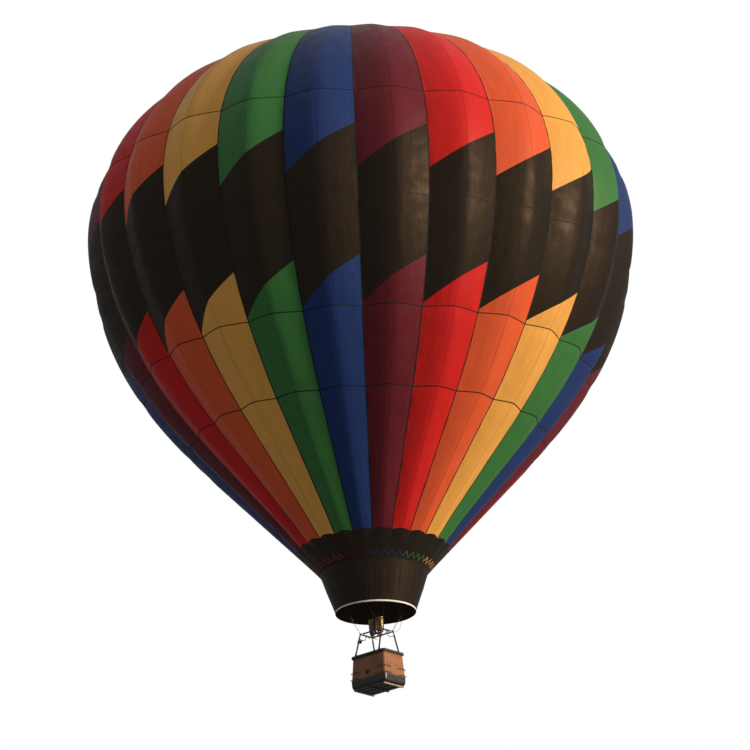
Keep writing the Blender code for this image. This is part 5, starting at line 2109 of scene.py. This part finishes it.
@dataclass
class Uprights:
    """The four uprights in padded leather covers, strapped, laced and booted at the rim."""

    rig: Rigging
    wardrobe: Wardrobe
    steps: int = 64
    sides: int = 20
    sink: float = 0.006
    boot: tuple = (
        (-0.085, 0.0300), (-0.082, 0.0332), (-0.040, 0.0345), (-0.012, 0.0385), (0.004, 0.0420), (0.006, 0.0300)
    )

    def cover(self, corner: int, sx: int, sy: int) -> None:
        """One upright's cover."""
        finish = self.wardrobe
        top, foot = self.rig.upright(sx, sy)
        down = (foot - top).normalized()
        start = top + down * (self.rig.socket_l + FIT)
        lift = self.rig.upright_r * hypot(down.x, down.y)
        end = foot - down * ((lift + FIT) / abs(down.z) - self.sink)
        side = down.cross(Vector((0, 1, 0))).normalized()
        other = down.cross(side)
        reach = (end - start).length
        straps = (0.10, 0.36, 0.62, 0.88)
        draw = random.Random(corner)
        phases = [draw.uniform(0, tau) for _ in range(3)]
        rings = []
        for i in range(self.steps + 1):
            share = i / self.steps
            squeeze = max(exp(-(((share - s) * reach / 0.022) ** 2)) for s in straps)
            closing = min(1.0, 0.62 + min(share, 1 - share) * 24)
            row = []
            for k in range(self.sides):
                angle = k / self.sides * tau
                crease = sin(3 * angle + phases[0] + share * 18) + sin(2 * angle + phases[1] - share * 29)
                r = self.rig.upright_r * closing - 0.0022 * squeeze - 0.0005 * (2 + crease)
                row.append(tuple(start + down * reach * share + (side * cos(angle) + other * sin(angle)) * r))
            rings.append(row)
        pad = paint(loft(np.array(rings), caps=True), finish.cover)
        pad.name = f"upright_{corner + 1}_cover"
        place(pad, "balloon", [f"upright_{corner + 1}"], 60)
        parts = Kit()
        for share in straps:
            middle = start + down * reach * share
            bandage = rod(middle - down * 0.011, middle + down * 0.011, self.rig.upright_r - 0.0008, 28, 0.002)
            parts.add(finish.strap, bandage)
            buckle = middle + side * (self.rig.upright_r + 0.0005)
            parts.add(finish.dark_steel, box((0.004, 0.022, 0.028), buckle, 0.001, (side, other, down)))
        rings = []
        for along, r in self.boot:
            turns = [k / 28 * tau for k in range(28)]
            rings.append([tuple(end + down * along + (side * cos(a) + other * sin(a)) * r) for a in turns])
        parts.add(finish.hide, loft(np.array(rings), caps=True))
        spots = []
        for i in range(46):
            share = 0.03 + 0.94 * i / 45
            spot = start + down * reach * share + other * (self.rig.upright_r - 0.0012)
            spots.append(standing(spot, down * 0.6 + side * 0.8, side))
        stitch = paint(box((0.012, 0.0026, 0.0026), (0, 0, 0), 0.0006), finish.thong)
        parts.append(copies(stitch, spots))
        place(join(f"upright_{corner + 1}_straps", parts), "balloon")

    def instrument(self) -> None:
        """The instrument case on one upright: a bezel, a blank screen, two knobs and its strap."""
        finish = self.wardrobe
        top, foot = self.rig.upright(-1, -1)
        down = (foot - top).normalized()
        beside = top + down * ((top.z + 15.16) / abs(down.z))
        up = -down
        across = Vector((1, 0, 0))
        across = (across - up * across.dot(up)).normalized()
        back = up.cross(across)
        size = (0.20, 0.05, 0.12)
        centre = beside + back * (self.rig.upright_r + size[1] / 2 + FIT)
        axes = (across, back, up)
        case = box((size[0], size[1] - 0.004, size[2]), centre - back * 0.002, 0.010, axes)
        parts = Kit([paint(case, finish.plastic)])
        face = centre + back * (size[1] / 2 - 0.004)
        parts.add(finish.rubber, box((0.158, 0.006, 0.086), face + up * 0.008, 0.002, axes))
        parts.add(finish.screen, box((0.142, 0.0068, 0.066), face + up * 0.012, 0.0008, axes))
        for shift in (-0.06, 0.0, 0.06):
            knob = face + across * shift - up * 0.045
            parts.add(finish.strap, rod(knob - back * 0.001, knob + back * 0.004, 0.007, 16, 0.001))
        for shift in (-0.04, 0.04):
            band = beside + up * shift * 0.7
            parts.add(finish.strap, rod(band - up * 0.009, band + up * 0.009, self.rig.upright_r + 0.0016, 28, 0.002))
        place(join("instrument_case_dressed", parts), "balloon", ["instrument_case"])

    def build(self) -> None:
        """Makes the uprights and the instrument case."""
        for corner, (sx, sy) in enumerate(CORNERS):
            self.cover(corner, sx, sy)
        self.instrument()


@dataclass
class Cylinders:
    """The four gas cylinders, strapped into the basket's corners."""

    shape: BasketShape
    wardrobe: Wardrobe
    radius: float = 0.148
    height: float = 0.88
    x: float = 0.55
    y: float = 0.30
    stand: float = 0.05 + 0.025 + FIT

    def build(self) -> None:
        """Makes the cylinders."""
        finish = self.wardrobe
        r, h = self.radius, self.height
        profile = (
            (0, 0.004), (r * 0.80, 0.0), (r * 0.86, 0.030), (r * 0.97, 0.060), (r, 0.085), (r, h * 0.5 - 0.008),
            (r - 0.001, h * 0.5 - 0.004), (r - 0.001, h * 0.5 + 0.004), (r, h * 0.5 + 0.008), (r, h - 0.20),
            (r * 0.98, h - 0.16), (r * 0.92, h - 0.12), (r * 0.78, h - 0.088), (r * 0.62, h - 0.076),
            (r * 0.62, h - 0.004), (r * 0.60, h), (r * 0.575, h - 0.003), (r * 0.56, h - 0.09), (0, h - 0.082),
        )
        for corner, (sx, sy) in enumerate(CORNERS):
            foot = Vector((sx * self.x, sy * self.y, self.shape.ground_z + self.stand))
            parts = Kit([paint(lathe(profile, foot, 48), finish.aluminium)])
            neck = foot + UP * (h - 0.09)
            parts.add(finish.brass, rod(neck, neck + UP * 0.03, 0.024, 6, 0.002))
            parts.add(finish.brass, rod(neck + UP * 0.03, neck + UP * 0.055, 0.011, 14, 0.001))
            parts.add(finish.grip, ring(neck + UP * 0.062, UP, 0.024, 0.006, 24, 8))
            parts.add(finish.grip, rod(neck + UP * 0.057, neck + UP * 0.067, 0.020, 8, 0.002))
            out = Vector((-sx, 0, 0))
            parts.add(finish.brass, rod(neck + UP * 0.016, neck + UP * 0.016 + out * 0.052, 0.009, 12, 0.001))
            for level in (0.25, 0.60):
                middle = foot + UP * level
                band = ((r - 0.001, -0.022), (r + 0.002, -0.021), (r + 0.002, 0.021), (r - 0.001, 0.022))
                parts.add(finish.strap, lathe(band, middle, 48))
                inward = Vector((-sx, -sy, 0)).normalized()
                tongue = middle + inward * (r + 0.003)
                parts.add(finish.steel, box((0.007, 0.05, 0.036), tongue, 0.0015, (inward, UP.cross(inward), UP)))
            name = f"gas_cylinder_{corner + 1}"
            place(join(name + "_strapped", parts), "balloon", [name])


@dataclass
class Studio:
    """The floor, the light and the camera, none of which is part of the balloon."""

    distance: float = 126.0
    floor_z: float = -53.05
    camera_z: float = -53.0
    azimuth: float = 42.0
    pitch: float = 20.8
    roll: float = -2.37
    aside: float = 0.32
    lens: float = 178.2
    sun_turn: float = 66.0
    sun_height: float = 7.0
    sun_energy: float = 4.6
    sun_width: float = 16.0
    sun_colour: Colour = (1.0, 0.86, 0.70)
    sky_colour: tuple = (0.90, 0.94, 1.0, 1.0)
    sky_range: tuple = (-0.4, 0.8, 0.18, 0.46)
    floor_size: float = 900.0
    far: float = 2000.0

    def floor(self) -> None:
        """Lays the pale floor."""
        deselect()
        bpy.ops.mesh.primitive_plane_add(size=self.floor_size, location=(0, 0, self.floor_z))
        floor = bpy.context.object
        floor.name = "studio_floor"
        g = Graph("studio_floor", 0.9)
        paint(floor, g.done(g.mix(g.noise(g.coords(), 0.05, 3), (0.80, 0.79, 0.77), (0.85, 0.84, 0.82))))
        floor.visible_diffuse = floor.visible_glossy = False

    def light(self) -> None:
        """Lights the scene with a pale sky and one large warm lamp, low on the picture's right."""
        world = bpy.data.worlds.new("studio")
        world.use_nodes = True
        tree = world.node_tree
        sky = tree.nodes["Background"]
        sky.inputs["Color"].default_value = self.sky_colour
        kinds = ("TexCoord", "SeparateXYZ", "MapRange")
        way, parts, span = (tree.nodes.new("ShaderNode" + kind) for kind in kinds)
        for slot, value in zip(("From Min", "From Max", "To Min", "To Max"), self.sky_range):
            span.inputs[slot].default_value = value
        tree.links.new(way.outputs["Generated"], parts.inputs[0])
        tree.links.new(parts.outputs["Z"], span.inputs["Value"])
        tree.links.new(span.outputs[0], sky.inputs["Strength"])
        backdrop = tree.nodes.new("ShaderNodeBackground")
        backdrop.inputs["Color"].default_value = (1.0, 1.0, 1.0, 1.0)
        seen, either = tree.nodes.new("ShaderNodeLightPath"), tree.nodes.new("ShaderNodeMixShader")
        tree.links.new(seen.outputs["Is Camera Ray"], either.inputs[0])
        tree.links.new(sky.outputs[0], either.inputs[1])
        tree.links.new(backdrop.outputs[0], either.inputs[2])
        tree.links.new(either.outputs[0], tree.nodes["World Output"].inputs[0])
        bpy.context.scene.view_settings.view_transform = "Standard"
        bpy.context.scene.world = world
        bpy.ops.object.light_add(type="SUN")
        sun = bpy.context.object
        sun.data.energy = self.sun_energy
        sun.data.angle = radians(self.sun_width)
        sun.data.color = self.sun_colour
        turn = radians(self.azimuth - 90 + self.sun_turn)
        height = radians(self.sun_height)
        towards = Vector((cos(turn) * cos(height), sin(turn) * cos(height), sin(height)))
        sun.rotation_euler = towards.to_track_quat("Z", "Y").to_euler()

    def camera(self) -> None:
        """Stands the camera at floor level, looking up as the photograph does."""
        azimuth, pitch, roll = (radians(v) for v in (self.azimuth, self.pitch, self.roll))
        away = Vector((sin(azimuth), -cos(azimuth), 0))
        right = Vector((cos(azimuth), sin(azimuth), 0))
        forward = -away * cos(pitch) + UP * sin(pitch)
        upward = right.cross(forward)
        across = right * cos(roll) + upward * sin(roll)
        upward = across.cross(forward)
        bpy.ops.object.camera_add()
        camera = bpy.context.object
        camera.data.lens = self.lens
        camera.data.sensor_width = 36.0
        camera.data.clip_end = self.far
        turn = Matrix((across, upward, -forward)).transposed().to_4x4()
        place_at = away * self.distance + right * self.aside
        camera.matrix_world = Matrix.Translation((place_at.x, place_at.y, self.camera_z)) @ turn
        bpy.context.scene.camera = camera

    def build(self) -> None:
        """Sets the stage."""
        self.floor()
        self.light()
        self.camera()


def main() -> None:
    """Builds every sub-assembly in order, then sets the stage."""
    logging.basicConfig(level=logging.INFO, format="%(name)s %(message)s")
    wardrobe = Wardrobe()
    shape = GoreShape()
    rig = Rigging()
    Lines(rig, shape, wardrobe).build()
    LoadTapes(shape, wardrobe).build()
    Envelope(shape, wardrobe).build()
    Ornament(shape, wardrobe).build()
    Crown(shape, wardrobe).build()
    Skirt(wardrobe).build()
    WireFittings(rig, shape, wardrobe).build()
    Burner(rig, wardrobe).build()
    basket = BasketShape()
    Wicker(basket, wardrobe).build()
    Hide(basket, wardrobe).build()
    Rim(basket, wardrobe).build()
    Floor(basket, wardrobe).build()
    Handles(basket, wardrobe).build()
    Uprights(rig, wardrobe).build()
    Cylinders(basket, wardrobe).build()
    Studio().build()


if __name__ == "__main__":
    main()
